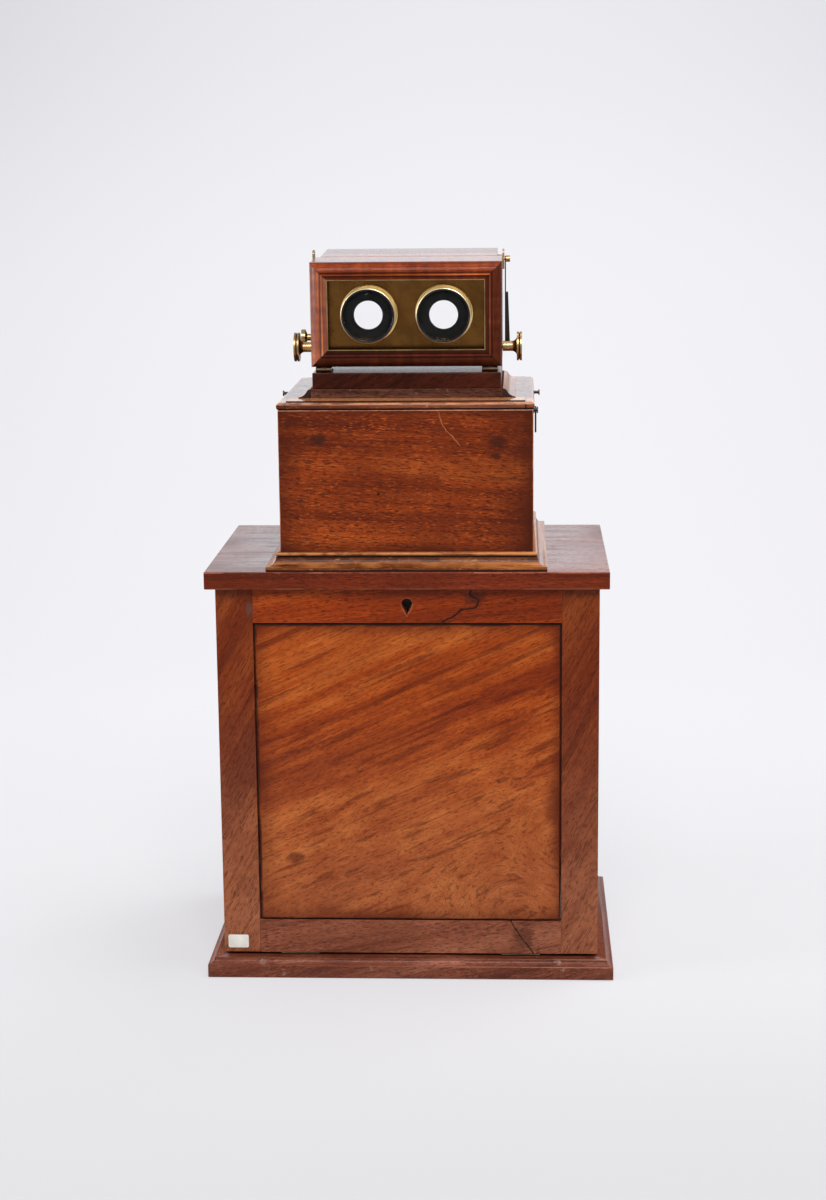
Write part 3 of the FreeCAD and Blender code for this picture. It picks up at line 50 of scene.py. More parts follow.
# Shader helper: sums on a wrapped socket add Math nodes
class Shade:
    def __init__(self, tree, socket=None):
        self.tree = tree
        self.socket = socket

    def add(self, kind, settings=None, sockets=None, out=0):
        node = self.tree.nodes.new(kind)
        for key, value in (settings or {}).items():
            if key == "stops":
                ramp = node.color_ramp
                while len(ramp.elements) < len(value):
                    ramp.elements.new(0.5)
                for element, (spot, colour) in zip(ramp.elements, value):
                    element.position = spot
                    element.color = (*colour, 1.0)
            else:
                setattr(node, key, value)
        for key, value in (sockets or {}).items():
            if isinstance(value, Shade):
                self.tree.links.new(value.socket, node.inputs[key])
            else:
                node.inputs[key].default_value = value
        return Shade(self.tree, node.outputs[out])

    def math(self, operation, *values):
        return self.add("ShaderNodeMath", {"operation": operation}, dict(enumerate(values)))

    def __add__(self, other):
        return self.math("ADD", self, other)

    def __radd__(self, other):
        return self.math("ADD", other, self)

    def __sub__(self, other):
        return self.math("SUBTRACT", self, other)

    def __rsub__(self, other):
        return self.math("SUBTRACT", other, self)

    def __mul__(self, other):
        return self.math("MULTIPLY", self, other)

    def __rmul__(self, other):
        return self.math("MULTIPLY", other, self)

    def __truediv__(self, other):
        return self.math("DIVIDE", self, other)

    def __neg__(self):
        return self.math("MULTIPLY", self, -1.0)

    def __abs__(self):
        return self.math("ABSOLUTE", self)

    def max(self, other):
        return self.math("MAXIMUM", self, other)

    def min(self, other):
        return self.math("MINIMUM", self, other)

    def rise(self, low, high):    # 0 below low, 1 above high
        settings = {"interpolation_type": "SMOOTHSTEP"}
        sockets = {"Value": self, "From Min": low, "From Max": high, "To Min": 0.0, "To Max": 1.0}
        return self.add("ShaderNodeMapRange", settings, sockets)

    def noise(self, place, stretch, detail=3.0, rough=0.5, shift=(0, 0, 0), twist=0.0):
        sockets = {"Vector": place, "Scale": stretch, "Location": shift}
        laid = self.add("ShaderNodeMapping", {}, sockets)
        sockets = {"Vector": laid, "Scale": 1.0, "Detail": detail, "Roughness": rough, "Distortion": twist}
        return self.add("ShaderNodeTexNoise", {}, sockets)

    def mix(self, share, first, second):    # sockets 6, 7 and out 2 are the colour ones
        settings = {"data_type": "RGBA", "blend_type": "MIX"}
        return self.add("ShaderNodeMix", settings, {0: share, 6: first, 7: second}, out=2)

    def split(self, place):
        node = self.tree.nodes.new("ShaderNodeSeparateXYZ")
        self.tree.links.new(place.socket, node.inputs[0])
        return [Shade(self.tree, output) for output in node.outputs]


def tone(red, green, blue):    # screen colour to linear
    out = []
    for part in (red, green, blue):
        part = part / 255
        out.append(part / 12.92 if part <= 0.04045 else ((part + 0.055) / 1.055) ** 2.4)
    return tuple(out)


def colour(shade, by=1.0):    # with alpha, lighter or darker if asked
    return (*(min(part * by, 1) for part in shade), 1.0)


def span(ends, share):
    return ends[0] + (ends[1] - ends[0]) * share


def newFinish(name):
    material = bpy.data.materials.new(name)
    material.use_nodes = True
    tree = material.node_tree
    surface = tree.nodes["Principled BSDF"]
    return material, Shade(tree), surface


def plug(shade, surface, **inputs):    # links or sets the shader's own sockets
    for key, value in inputs.items():
        socket = surface.inputs[key.replace("_", " ")]
        if isinstance(value, Shade):
            shade.tree.links.new(value.socket, socket)
        else:
            socket.default_value = value


# Mahogany and plain woods. turn lays the grain along local X, in degrees.
woodBase = {
    "turn": (0, 0, 0), "tones": (tone(92, 34, 15), tone(124, 52, 25), tone(150, 72, 38)),
    "bands": 16.0, "streak": 75.0, "fibre": 420.0, "pore": 0.55, "curl": 0.0, "curlPitch": 110.0,
    "wander": 0.012, "rough": (0.24, 0.42), "coat": 0.06, "gloss": 0.14, "bump": 0.2, "blotch": 0.35, "fleck": 0.35,
    "spots": (), "bows": (), "cracks": (), "wear": None, "shift": (0, 0, 0), "faded": None, "mitres": None,
    "rims": (), "topCoat": 0.0, "cloud": 0.3, "lines": (), "scratches": (), "vein": 0.3, "bead": 0.75,
    "scuffs": None,
}
# Noise layers of the wood: stretch, detail, roughness, shift, and the values where it starts and is full
woodLayers = {
    "pore": ((150, 1000, 1000), 2.0, 0.55, (7, 2, 4), 0.52, 0.62),
    "fleck": ((170, 760, 760), 2.0, 0.5, (3, 8, 9), 0.55, 0.70),
    "vein": ((2.2, 190, 190), 2.0, 0.4, (8, 6, 3), 0.57, 0.66),
    "cloud": ((34, 34, 42), 5.0, 0.62, (6, 1, 8), 0.40, 0.66),
    "patch": ((9, 9, 9), 4.0, 0.6, (4, 4, 1), 0.38, 0.70),
    "worn": ((7, 46, 46), 6.0, 0.7, (5, 2, 2), 0.42, 0.64),
}
# Marks round the head's opening, by distance out from it in metres: a dark joint, painted shade at the lip and in the
# groove, a painted highlight on the bead
mitreMarks = {"joint": (0.0002, 0.0007), "lip": (0.0040, 0.0046), "groove": 0.0073, "grooveEdge": (0.0004, 0.0010),
              "bead": 0.0053, "beadEdge": (0.0003, 0.0008)}
crackBlack = tone(30, 11, 6)


def layer(s, place, name):
    stretch, detail, rough, shift, low, high = woodLayers[name]
    return s.noise(place, stretch, detail=detail, rough=rough, shift=shift).rise(low, high)


def near(s, place, spot, reach):    # 1 at the spot, 0 at reach, with a ragged rim
    away = s.add("ShaderNodeVectorMath", {"operation": "SUBTRACT"}, {0: place, 1: spot})
    away = s.add("ShaderNodeVectorMath", {"operation": "DIVIDE"}, {0: away, 1: reach})
    length = s.add("ShaderNodeVectorMath", {"operation": "LENGTH"}, {0: away}, out="Value")
    ragged = s.noise(place, (160, 160, 160), detail=3.0)
    return 1 - (length + (ragged - 0.5) * 0.9).rise(0.35, 1.0)


def crackLine(s, place, points, width):    # a ragged hairline through points on the front, as (x, z)
    x, y, z = s.split(place)
    wobble = (s.noise(place, (240, 240, 240), detail=4.0) - 0.5) * 0.0034
    line = None
    for (x0, z0), (x1, z1) in zip(points, points[1:]):
        run = (x1 - x0, z1 - z0)
        size = math.hypot(*run)
        along = ((x - x0) * (run[0] / size) + (z - z0) * (run[1] / size))
        aside = abs((x - x0) * (-run[1] / size) + (z - z0) * (run[0] / size) + wobble)
        inside = along.rise(-0.0012, 0.0003) * (1 - along.rise(size - 0.0003, size + 0.0012))
        part = (1 - aside.rise(width * 0.3, width)) * inside
        line = part if line is None else line.max(part)
    return line


def markMitres(s, base, place, streak, look):    # dark joints at the corners, painted shade at the lip and in the groove, a painted highlight on the bead
    halfX, halfZ, middleZ = look["mitres"]
    dark, middle, light = look["tones"]
    px, py, pz = s.split(place)
    outX = abs(px) - halfX
    outZ = abs(pz - middleZ) - halfZ
    joint = 1 - abs(outX - outZ).rise(*mitreMarks["joint"])
    base = s.mix(joint * 0.75, base, colour(dark, 0.3))
    ring = outX.max(outZ)    # distance out from the opening
    # painted shade on the inner strip by the opening
    lip = 1 - ring.rise(*mitreMarks["lip"])
    base = s.mix(lip * 0.6, base, colour(dark, 0.7))
    # painted shade in the groove between the swell and the bead
    groove = 1 - abs(ring - mitreMarks["groove"]).rise(*mitreMarks["grooveEdge"])
    base = s.mix(groove * 0.8, base, colour(dark, 0.3))
    # painted highlight along the bead
    arrisHighlight = (1 - abs(ring - mitreMarks["bead"]).rise(*mitreMarks["beadEdge"])) * (0.3 + streak)
    return s.mix(arrisHighlight * look["bead"], base, colour(light, 1.6))


def woodFinish(name, **changes):
    look = {**woodBase, **changes}
    material, s, surface = newFinish(name)
    place = s.add("ShaderNodeTexCoord", out="Object")
    turn = tuple(math.radians(angle) for angle in look["turn"])
    laid = s.add("ShaderNodeMapping", {}, {"Vector": place, "Rotation": turn, "Location": look["shift"]})
    # Grain lines, bent by slow drift and round knots
    along, across, through = s.split(laid)
    drift = s.noise(laid, (3.2, 9, 9), detail=2.0)
    across = across + (drift - 0.5) * look["wander"]
    px, py, pz = s.split(place)
    for x, z, reach, push in look["bows"]:
        away = ((px - x) * (px - x) + (pz - z) * (pz - z)) / (reach * reach)
        across = across + (-away).math("EXPONENT", -away) * push
    flow = s.add("ShaderNodeCombineXYZ", {}, {0: along, 1: across, 2: through})
    bands = s.noise(flow, (1.4, look["bands"], look["bands"]), detail=3.0, twist=0.25)
    streak = s.noise(flow, (3.0, look["streak"], look["streak"]), detail=4.0, rough=0.6, shift=(3, 1, 7))
    fibre = s.noise(flow, (14, look["fibre"], look["fibre"]), detail=3.0, rough=0.65, shift=(1, 5, 2))
    pore = layer(s, flow, "pore")
    level = bands * 0.46 + streak * 0.38 + fibre * 0.16
    if look["curl"]:    # ripple across the grain
        ripple = s.noise(flow, (look["curlPitch"], 14, 14), detail=1.0, shift=(2, 9, 1))
        level = level + (ripple - 0.5) * look["curl"]
    dark, middle, light = look["tones"]
    stops = [(0.40, dark), (0.50, middle), (0.60, light)]
    base = s.add("ShaderNodeValToRGB", {"stops": stops}, {"Fac": level})
    if look["faded"]:    # a paler region: axis, from, to, colour, share
        axis, low, high, paler, share = look["faded"]
        spot = s.split(place)[axis].rise(low, high)
        base = s.mix(spot * share * (0.6 + 0.8 * streak), base, colour(paler))
    base = s.mix(layer(s, flow, "fleck") * look["fleck"], base, colour(light, 1.35))
    base = s.mix(layer(s, flow, "vein") * look["vein"], base, colour(dark, 0.3))
    base = s.mix(pore * look["pore"], base, colour(dark, 0.3))
    cloud = layer(s, place, "cloud")
    base = s.mix(cloud * look["cloud"], base, colour(dark))
    patch = layer(s, place, "patch")
    base = s.mix(patch * look["blotch"], base, colour(dark))
    rough = span(look["rough"], s.noise(place, (30, 30, 30), detail=4.0))
    height = fibre * 0.5 - pore * 0.9
    if look["wear"]:    # rubbed patches that show bare wood
        bare, amount, size = look["wear"]
        rub = s.noise(place, (size, size, size), detail=6.0, rough=0.68, shift=(9, 3, 5))
        rub = rub.rise(0.62 - amount, 0.74 - amount * 0.6)
        base = s.mix(rub * 0.85, base, colour(bare))
        rough = rough + rub * 0.22
        height = height - rub * 0.6
    for spot, reach, stain, share in look["spots"]:
        base = s.mix(near(s, place, spot, reach) * share, base, colour(stain))
    for axis, centre, half, paint, share in look["lines"]:    # a line painted along a moulding or edge: used for painted highlights, painted shade and wear
        line = 1 - abs(s.split(place)[axis] - centre + (streak - 0.5) * 0.0008).rise(half * 0.5, half)
        if share > 1:    # a line without gaps
            share = share - 1
        else:
            share = (streak * 0.8 + cloud * 0.35).rise(0.28, 0.66) * share
        base = s.mix(line * share, base, colour(paint))
    for points, width, share in look["cracks"]:
        line = crackLine(s, place, points, width)
        base = s.mix(line * share, base, colour(crackBlack))
        height = height - line * 6.0
    for points, width, share, paint in look["scratches"]:
        base = s.mix(crackLine(s, place, points, width) * share, base, colour(paint))
    if look["mitres"]:    # the opening's half width, half height and middle
        base = markMitres(s, base, place, streak, look)
    for axis, low, high in look["rims"]:    # painted shade, darker towards an edge
        spot = s.split(place)[axis].rise(low, high)
        base = s.mix(spot * (0.5 + 0.5 * patch), base, colour(dark, 0.5))
    bump = s.add("ShaderNodeBump", {}, {"Strength": look["bump"], "Distance": 0.0004, "Height": height})
    coat = look["coat"]
    if look["topCoat"]:    # polish survives on upper faces, less where the grain is open
        facing = s.split(s.add("ShaderNodeTexCoord", out="Normal"))[2]
        polish = look["topCoat"] * (1.25 - 0.55 * streak - pore * 0.5)
        if look["scuffs"]:    # dull patches, and dull towards the edges: half width, half depth, reach, share
            halfX, halfY, reach, share = look["scuffs"]
            rim = (abs(px) - halfX).max(abs(py) - halfY).rise(-reach, 0.0)
            polish = polish * (1 - share * layer(s, flow, "worn").max(rim * (0.4 + 0.9 * patch)))
        coat = coat + facing.rise(0.55, 0.9) * polish
    plug(s, surface, Base_Color=base, Roughness=rough, Normal=bump, Coat_Weight=coat,
         Coat_Roughness=0.12, Specular_IOR_Level=look["gloss"])
    return material


def brassFinish(name, bright, dull, share=0.5, rough=(0.22, 0.42), scratch=(300, 20, 300)):
    material, s, surface = newFinish(name)
    place = s.add("ShaderNodeTexCoord", out="Object")
    cloud = s.noise(place, (38, 38, 38), detail=5.0, rough=0.62).rise(0.34, 0.68)
    speck = s.noise(place, (420, 420, 420), detail=3.0, shift=(2, 8, 3)).rise(0.64, 0.74)
    lines = s.noise(place, scratch, detail=3.0, rough=0.6, shift=(5, 1, 6))
    base = s.mix(cloud * share, colour(bright), colour(dull))
    base = s.mix(speck * 0.55, base, colour(dull, 0.3))
    shine = span(rough, cloud) + (lines - 0.5) * 0.12 + speck * 0.2
    height = lines * 0.25 - speck * 0.5
    bump = s.add("ShaderNodeBump", {}, {"Strength": 0.08, "Distance": 0.0002, "Height": height})
    plug(s, surface, Base_Color=base, Roughness=shine, Metallic=1.0, Normal=bump)
    return material


def ironFinish(name, black, rust):
    material, s, surface = newFinish(name)
    place = s.add("ShaderNodeTexCoord", out="Object")
    cloud = s.noise(place, (120, 120, 120), detail=6.0, rough=0.66).rise(0.46, 0.72)
    grain = s.noise(place, (900, 900, 900), detail=3.0)
    base = s.mix(cloud, colour(black), colour(rust))
    shine = 0.36 + cloud * 0.3 + (grain - 0.5) * 0.2
    bump = s.add("ShaderNodeBump", {}, {"Strength": 0.2, "Distance": 0.0003, "Height": grain + cloud})
    plug(s, surface, Base_Color=base, Roughness=shine, Metallic=0.6, Normal=bump)
    return material


def paintFinish(name, paint, rough=(0.35, 0.6), gloss=0.3):    # dull black lacquer and paper
    material, s, surface = newFinish(name)
    place = s.add("ShaderNodeTexCoord", out="Object")
    cloud = s.noise(place, (60, 60, 60), detail=5.0, rough=0.6)
    grain = s.noise(place, (1500, 1500, 1500), detail=2.0)
    base = s.mix(cloud.rise(0.3, 0.75) * 0.5, colour(paint), colour(paint, 1.7))
    shine = span(rough, cloud)
    bump = s.add("ShaderNodeBump", {}, {"Strength": 0.1, "Distance": 0.0002, "Height": grain})
    plug(s, surface, Base_Color=base, Roughness=shine, Normal=bump, Specular_IOR_Level=gloss)
    return material


def glassFinish(name, tint, rough, grain, bend):
    material, s, surface = newFinish(name)
    place = s.add("ShaderNodeTexCoord", out="Object")
    frost = s.noise(place, (grain, grain, grain), detail=3.0)
    base = s.mix(frost * 0.25, colour(tint), colour(tint, 0.93))
    plug(s, surface, Base_Color=base, Roughness=span(rough, frost), Transmission_Weight=1.0, IOR=bend)
    return material


def mirrorFinish(name, silver, tarnish):
    material, s, surface = newFinish(name)
    place = s.add("ShaderNodeTexCoord", out="Object")
    bloom = s.noise(place, (70, 70, 70), detail=6.0, rough=0.7).rise(0.5, 0.8)
    base = s.mix(bloom * 0.5, colour(silver), colour(tarnish))
    plug(s, surface, Base_Color=base, Roughness=0.04 + bloom * 0.2, Metallic=1.0)
    return material


# Mesh helpers. Lengths in metres, angles in degrees
edgeLook = {"join": 0.000002, "flat": 1.0, "sharp": 38.0}


def finishPiece(name, bm, material, body, replaced=(), smooth=24.0):
    mesh = bpy.data.meshes.new(name)
    bm.to_mesh(mesh)
    bm.free()
    mesh.shade_smooth()
    mesh.set_sharp_from_angle(angle=math.radians(smooth))
    mesh.materials.append(material)
    piece = bpy.data.objects.new(name, mesh)
    bpy.context.scene.collection.objects.link(piece)
    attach(piece, body)
    if replaced:
        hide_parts(*replaced)
    return piece


def cadCopy(node):
    bm = bmesh.new()
    bm.from_mesh(nodes[node].data)
    bmesh.ops.remove_doubles(bm, verts=bm.verts, dist=edgeLook["join"])
    return bm


def flatten(bm):    # one face where the CAD mesh has many in a plane
    bmesh.ops.dissolve_limit(bm, angle_limit=math.radians(edgeLook["flat"]), verts=bm.verts, edges=bm.edges)


def rubEdges(bm, convex, width):    # returns the new faces
    limit = math.radians(edgeLook["sharp"])
    paired = [e for e in bm.edges if len(e.link_faces) == 2]
    sharp = [e for e in paired if e.calc_face_angle(0) > limit and e.is_convex == convex]
    made = bmesh.ops.bevel(bm, geom=sharp, offset=width, segments=2, profile=0.5, affect="EDGES",
                           clamp_overlap=True, material=-1)
    return made["faces"]


def soften(node, material, width, arris):    # the CAD board again, arrises rubbed round, the creases painted dark as shade
    bm = cadCopy(node)
    flatten(bm)
    for index, convex in ((1, True), (2, False)):
        for face in rubEdges(bm, convex, width):
            face.material_index = index
    piece = finishPiece(node + "_soft", bm, material, bodyOf[node], (node,))
    piece.data.materials.append(arris)
    # the creases take painted shade
    piece.data.materials.append(creaseAndGapShade)


def dress(node, material):
    nodes[node].data.materials.clear()
    nodes[node].data.materials.append(material)


def lathe(profile, steps):    # profile as (radius, along), turned about Y
    bm = bmesh.new()
    rows = [bm.verts.new((radius, along, 0)) for radius, along in profile]
    for first, second in zip(rows, rows[1:]):
        bm.edges.new((first, second))
    bmesh.ops.spin(bm, geom=bm.verts[:] + bm.edges[:], cent=(0, 0, 0), axis=(0, 1, 0), angle=math.tau,
                   steps=steps, use_merge=True)
    bmesh.ops.remove_doubles(bm, verts=bm.verts, dist=edgeLook["join"])
    bmesh.ops.recalc_face_normals(bm, faces=bm.faces)
    return bm


headPlace = {"axis": (0.0, -0.085, 0.63085), "tilt": 2.5}
headMatrix = Matrix.Translation(headPlace["axis"]) @ Matrix.Rotation(math.radians(headPlace["tilt"]), 4, "X")
headBack = headMatrix.inverted()    # from the world into the head's own frame
headOpening = {"halfX": 0.0795, "halfZ": 0.0352, "middle": 0.05545}
doorFace = -0.1315    # y of the front faces
caseFace = -0.125
gapShade = tone(34, 11, 4)

# Cabinet woods
# The darker edges and the dark lines round the door panel are painted shade in its gap to the frame
panelWood = woodFinish(
    "panelWood", turn=(0, 24, 0), tones=(tone(104, 33, 5), tone(150, 63, 14), tone(179, 93, 36)), bands=10.0, gloss=0.1,
    streak=85.0, wander=0.02, blotch=0.16, pore=0.5, fleck=0.12, vein=0.45,
    rims=((0, 0.141, 0.159), (0, -0.132, -0.159), (2, 0.358, 0.378), (2, 0.079, 0.0585)),
    bows=((0.122, 0.070, 0.060, 0.12), (0.150, 0.120, 0.045, -0.06), (0.02, 0.20, 0.12, 0.02)),
    spots=(((-0.119, doorFace, 0.127), (0.013, 0.02, 0.008), tone(84, 32, 14), 0.75),
           ((0.150, doorFace, 0.185), (0.012, 0.02, 0.03), tone(88, 34, 12), 0.5)),
    lines=((0, -0.1566, 0.0034, gapShade, 1.0), (2, 0.3760, 0.0032, gapShade, 1.0),
           (0, 0.1566, 0.0020, gapShade, 0.9), (2, 0.0597, 0.0026, gapShade, 0.9)),
    faded=(2, 0.32, 0.05, tone(160, 104, 68), 0.42))
stileWood = woodFinish(
    "stileWood", turn=(0, 62, 0), tones=(tone(84, 27, 6), tone(110, 43, 12), tone(132, 62, 25)), gloss=0.1,
    bands=20.0, streak=90.0, pore=0.55, fleck=0.15,
    spots=(((-0.1612, doorFace, 0.392), (0.005, 0.02, 0.011), tone(84, 62, 56), 0.6),),
    faded=(2, 0.34, 0.04, tone(164, 104, 74), 0.6))
topRailWood = woodFinish(
    "topRailWood", turn=(0, 8, 0), tones=(tone(110, 36, 4), tone(148, 56, 10), tone(174, 80, 24)), pore=0.75, gloss=0.1,
    cracks=((((0.0655, 0.4130), (0.0639, 0.4067), (0.0731, 0.4007), (0.0700, 0.3931), (0.0565, 0.3916),
              (0.0474, 0.3840), (0.0353, 0.3775)), 0.0014, 0.95),),
    spots=(((0.070, doorFace, 0.403), (0.016, 0.02, 0.010), tone(60, 20, 8), 0.7),), fleck=0.15,
    scratches=((((0, 0.3845), (0.0056, 0.3940), (0.0050, 0.3998), (0, 0.4031), (-0.0050, 0.3998), (-0.0056, 0.3940),
                 (0, 0.3845)), 0.0009, 0.3, tone(160, 108, 84)),))
bottomRailWood = woodFinish(
    "bottomRailWood", turn=(0, 10, 0), tones=(tone(98, 46, 27), tone(133, 74, 51), tone(156, 96, 69)), pore=0.7,
    cracks=((((0.105, 0.059), (0.115, 0.042), (0.130, 0.022)), 0.0012, 0.9),),
    spots=(((0.119, doorFace, 0.04), (0.016, 0.02, 0.02), tone(66, 28, 16), 0.65),))
sideWood = woodFinish("sideWood", turn=(0, 90, 0), tones=(tone(88, 30, 8), tone(118, 48, 18), tone(144, 72, 34)))
topWood = woodFinish("topWood", tones=(tone(80, 28, 10), tone(106, 38, 16), tone(130, 54, 26)), rough=(0.16, 0.3),
                     gloss=0.08, topCoat=1.15, bump=0.3, scuffs=(0.2055, 0.143, 0.050, 0.55),
                     lines=((2, 0.4146, 0.0006, tone(176, 112, 84), 0.5), (2, 0.4311, 0.0008, tone(160, 92, 66), 0.6)))
plinthLook = {"tones": (tone(84, 38, 24), tone(117, 62, 43), tone(147, 90, 69)), "pore": 0.7,
              "wear": (tone(150, 128, 116), 0.02, 55.0)}
plinthWood = woodFinish("plinthWood", turn=(0, 14, 0), **plinthLook)
plinthSideWood = woodFinish("plinthSideWood", turn=(0, 0, 90), **plinthLook)
backWood = woodFinish("backWood", turn=(0, 90, 0), tones=(tone(92, 60, 40), tone(120, 82, 56), tone(142, 104, 74)),
                      coat=0.0, rough=(0.5, 0.7))
insideWood = woodFinish("insideWood", tones=(tone(120, 84, 56), tone(146, 108, 76), tone(168, 130, 96)),
                        coat=0.0, rough=(0.55, 0.75))
# Case and lid woods
caseTones = (tone(86, 28, 5), tone(134, 54, 14), tone(164, 80, 30))
# the darker edges of the case front are painted shade, deeper at the right
caseWood = woodFinish(
    "caseWood", turn=(0, -3, 0), tones=caseTones, pore=0.8, blotch=0.5, bands=18.0, fleck=0.6, gloss=0.09,
    rims=((0, 0.070, 0.130), (0, 0.112, 0.128), (0, -0.090, -0.132), (2, 0.578, 0.597), (2, 0.464, 0.449)), cloud=0.35,
    scratches=((((0.033, 0.593), (0.038, 0.577), (0.055, 0.558)), 0.0005, 0.6, tone(196, 124, 74)),),
    spots=(((-0.088, caseFace, 0.565), (0.012, 0.02, 0.009), tone(48, 18, 9), 0.8),
           ((0.093, caseFace, 0.562), (0.013, 0.02, 0.009), tone(48, 18, 9), 0.8),
           ((0.091, caseFace, 0.547), (0.008, 0.02, 0.005), tone(52, 20, 9), 0.8),
           ((-0.028, caseFace, 0.509), (0.0024, 0.02, 0.0024), tone(20, 8, 5), 0.95)))
# the sides are darker towards their front and back edges as painted shade
caseSideWood = woodFinish("caseSideWood", turn=(0, 0, 90), tones=caseTones, pore=0.85, fleck=0.5,
                          rims=((1, 0.106, 0.127), (1, -0.106, -0.127)))
mouldLook = {"tones": (tone(54, 18, 5), tone(130, 68, 28), tone(198, 132, 76)), "streak": 130.0, "pore": 0.5}
mouldWear = (tone(206, 158, 122), 0.0, 140.0)
# Lines on the base moulding: painted highlights, partly wear, on the bead and the foot; painted shade under the bead,
# in the cove and along the bottom
baseHighlightAndShade = ((2, 0.4482, 0.0018, tone(180, 116, 64), 0.75), (2, 0.4452, 0.0011, tone(26, 9, 4), 2.0),
             (2, 0.4420, 0.0026, tone(62, 24, 9), 1.0), (2, 0.4378, 0.0030, tone(156, 94, 48), 0.7),
             (2, 0.4326, 0.0011, tone(24, 9, 4), 2.0))
mouldWood = woodFinish("mouldWood", **mouldLook, wear=mouldWear, gloss=0.1, topCoat=0.2, lines=baseHighlightAndShade)
mouldSideWood = woodFinish("mouldSideWood", turn=(0, 0, 90), **mouldLook, wear=mouldWear, gloss=0.14, topCoat=0.9,
                           lines=baseHighlightAndShade)
ogeeSideWood = woodFinish("ogeeSideWood", turn=(0, 0, 90), **mouldLook, gloss=0.14, topCoat=0.9,
                          lines=((1, -0.0912, 0.0009, tone(34, 15, 8), 2.0),))
# Lid lines: the front flat painted paler as painted light, partly wear; a dark line between flat and nose; dark joints
# at the ends; a painted highlight along the nose's top edge and painted shade under it
lidWood = woodFinish(
    "lidWood", tones=(tone(62, 24, 9), tone(94, 43, 20), tone(136, 78, 46)), rough=(0.14, 0.26), gloss=0.12,
    topCoat=1.0,
    lines=((1, -0.1040, 0.0200, tone(190, 124, 80), 1.8), (1, -0.1040, 0.0200, tone(206, 140, 90), 0.6),
           (1, -0.1174, 0.0010, tone(34, 14, 7), 2.0),
           (0, -0.1208, 0.0011, tone(40, 18, 10), 2.0), (0, 0.1208, 0.0011, tone(40, 18, 10), 2.0),
           (2, 0.6004, 0.0010, tone(186, 122, 82), 0.8), (2, 0.5951, 0.0010, tone(30, 12, 6), 2.0)),
    wear=(tone(196, 140, 100), 0.02, 110.0), pore=0.4)
coreWood = woodFinish(
    "coreWood", tones=(tone(44, 24, 17), tone(70, 41, 32), tone(102, 65, 52)), coat=0.0, gloss=0.03, rough=(0.7, 0.9),
    bump=0.9, streak=180.0, wear=(tone(140, 108, 90), 0.02, 160.0))
# the tilt board's tones are darkened as painted shade under the head
shadedBoardWood = woodFinish("shadedBoardWood", turn=(0, 30, 0), tones=(tone(38, 14, 7), tone(54, 21, 12), tone(76, 33, 20)),
                       rough=(0.2, 0.34), topCoat=0.8, gloss=0.05, coat=0.0)
# Rubbed arrises, worn pale and on the head frame a painted highlight; painted shade for the creases and the door
# panel's gap
wornAndLitArris = woodFinish("wornAndLitArris", tones=(tone(104, 44, 18), tone(148, 82, 48), tone(198, 138, 104)),
                       pore=0.3, blotch=0.9, cloud=0.6, streak=40.0)
plinthArris = woodFinish("plinthArris", tones=(tone(84, 40, 26), tone(112, 60, 42), tone(156, 106, 84)), blotch=0.6)
creaseAndGapShade = woodFinish("creaseAndGapShade", tones=(tone(16, 7, 4), tone(28, 12, 7), tone(48, 22, 12)), rough=(0.6, 0.8), coat=0.0)
# Head woods
curlWood = {
    "tones": (tone(84, 26, 8), tone(132, 54, 20), tone(182, 98, 44)), "curl": 0.2, "curlPitch": 120.0, "bead": 0.4,
    "rough": (0.12, 0.22), "coat": 0.02, "gloss": 0.07, "pore": 0.25, "fleck": 0.15,
}
frameWood = {**curlWood, "mitres": (headOpening["halfX"], headOpening["halfZ"], 0.6861)}
# The lengths are lit and shaded copies of one wood: the left painted lighter as painted light, the right and the foot
# painted darker as painted shade
leftLitLook = {"tones": (tone(108, 42, 16), tone(160, 78, 36), tone(206, 124, 66)), "gloss": 0.5, "coat": 0.2,
            "rough": (0.26, 0.36)}
rightShadeLook = {"tones": (tone(62, 22, 8), tone(90, 38, 18), tone(118, 58, 30)), "shift": (0.3, 0.1, 0), "bead": 0.3}
footShadeLook = {"tones": (tone(46, 15, 6), tone(70, 28, 13), tone(98, 44, 22)), "shift": (0.2, 0.4, 0), "gloss": 0.05,
            "bead": 0.2}
frameTopWood = woodFinish("frameTopWood", **frameWood)
frameLeftLit = woodFinish("frameLeftLit", turn=(0, 90, 0), **{**frameWood, **leftLitLook})
frameRightShade = woodFinish("frameRightShade", turn=(0, 90, 0), **{**frameWood, **rightShadeLook})
frameFootShade = woodFinish("frameFootShade", **{**frameWood, **footShadeLook})
wallWood = woodFinish("wallWood", turn=(0, 0, 90), **curlWood)
flapWood = woodFinish("flapWood", **{**curlWood, "rough": (0.1, 0.2), "topCoat": 1.0, "gloss": 0.3})
print("woods ready")

# Metals, glass and blacks
plateBrass = brassFinish("plateBrass", (0.132, 0.060, 0.015), (0.070, 0.030, 0.008), 0.7, (0.2, 0.32), (30, 300, 900))
tubeBrass = brassFinish("tubeBrass", (0.84, 0.60, 0.25), (0.50, 0.32, 0.11), 0.5, (0.05, 0.15), (60, 900, 60))
pinBronze = brassFinish("pinBronze", (0.07, 0.045, 0.028), (0.03, 0.02, 0.014), 0.8, (0.4, 0.6))
knobBrass = brassFinish("knobBrass", (0.40, 0.27, 0.12), (0.16, 0.10, 0.05), 0.7, (0.16, 0.34), (900, 60, 60))
hingeBrass = brassFinish("hingeBrass", (0.20, 0.13, 0.06), (0.06, 0.038, 0.022), 0.85, (0.35, 0.6))
blackIron = ironFinish("blackIron", (0.012, 0.011, 0.010), (0.045, 0.026, 0.016))
lockIron = ironFinish("lockIron", (0.014, 0.013, 0.012), (0.04, 0.024, 0.015))
stopBlack = paintFinish("stopBlack", (0.005, 0.005, 0.0055), (0.35, 0.6), 0.1)
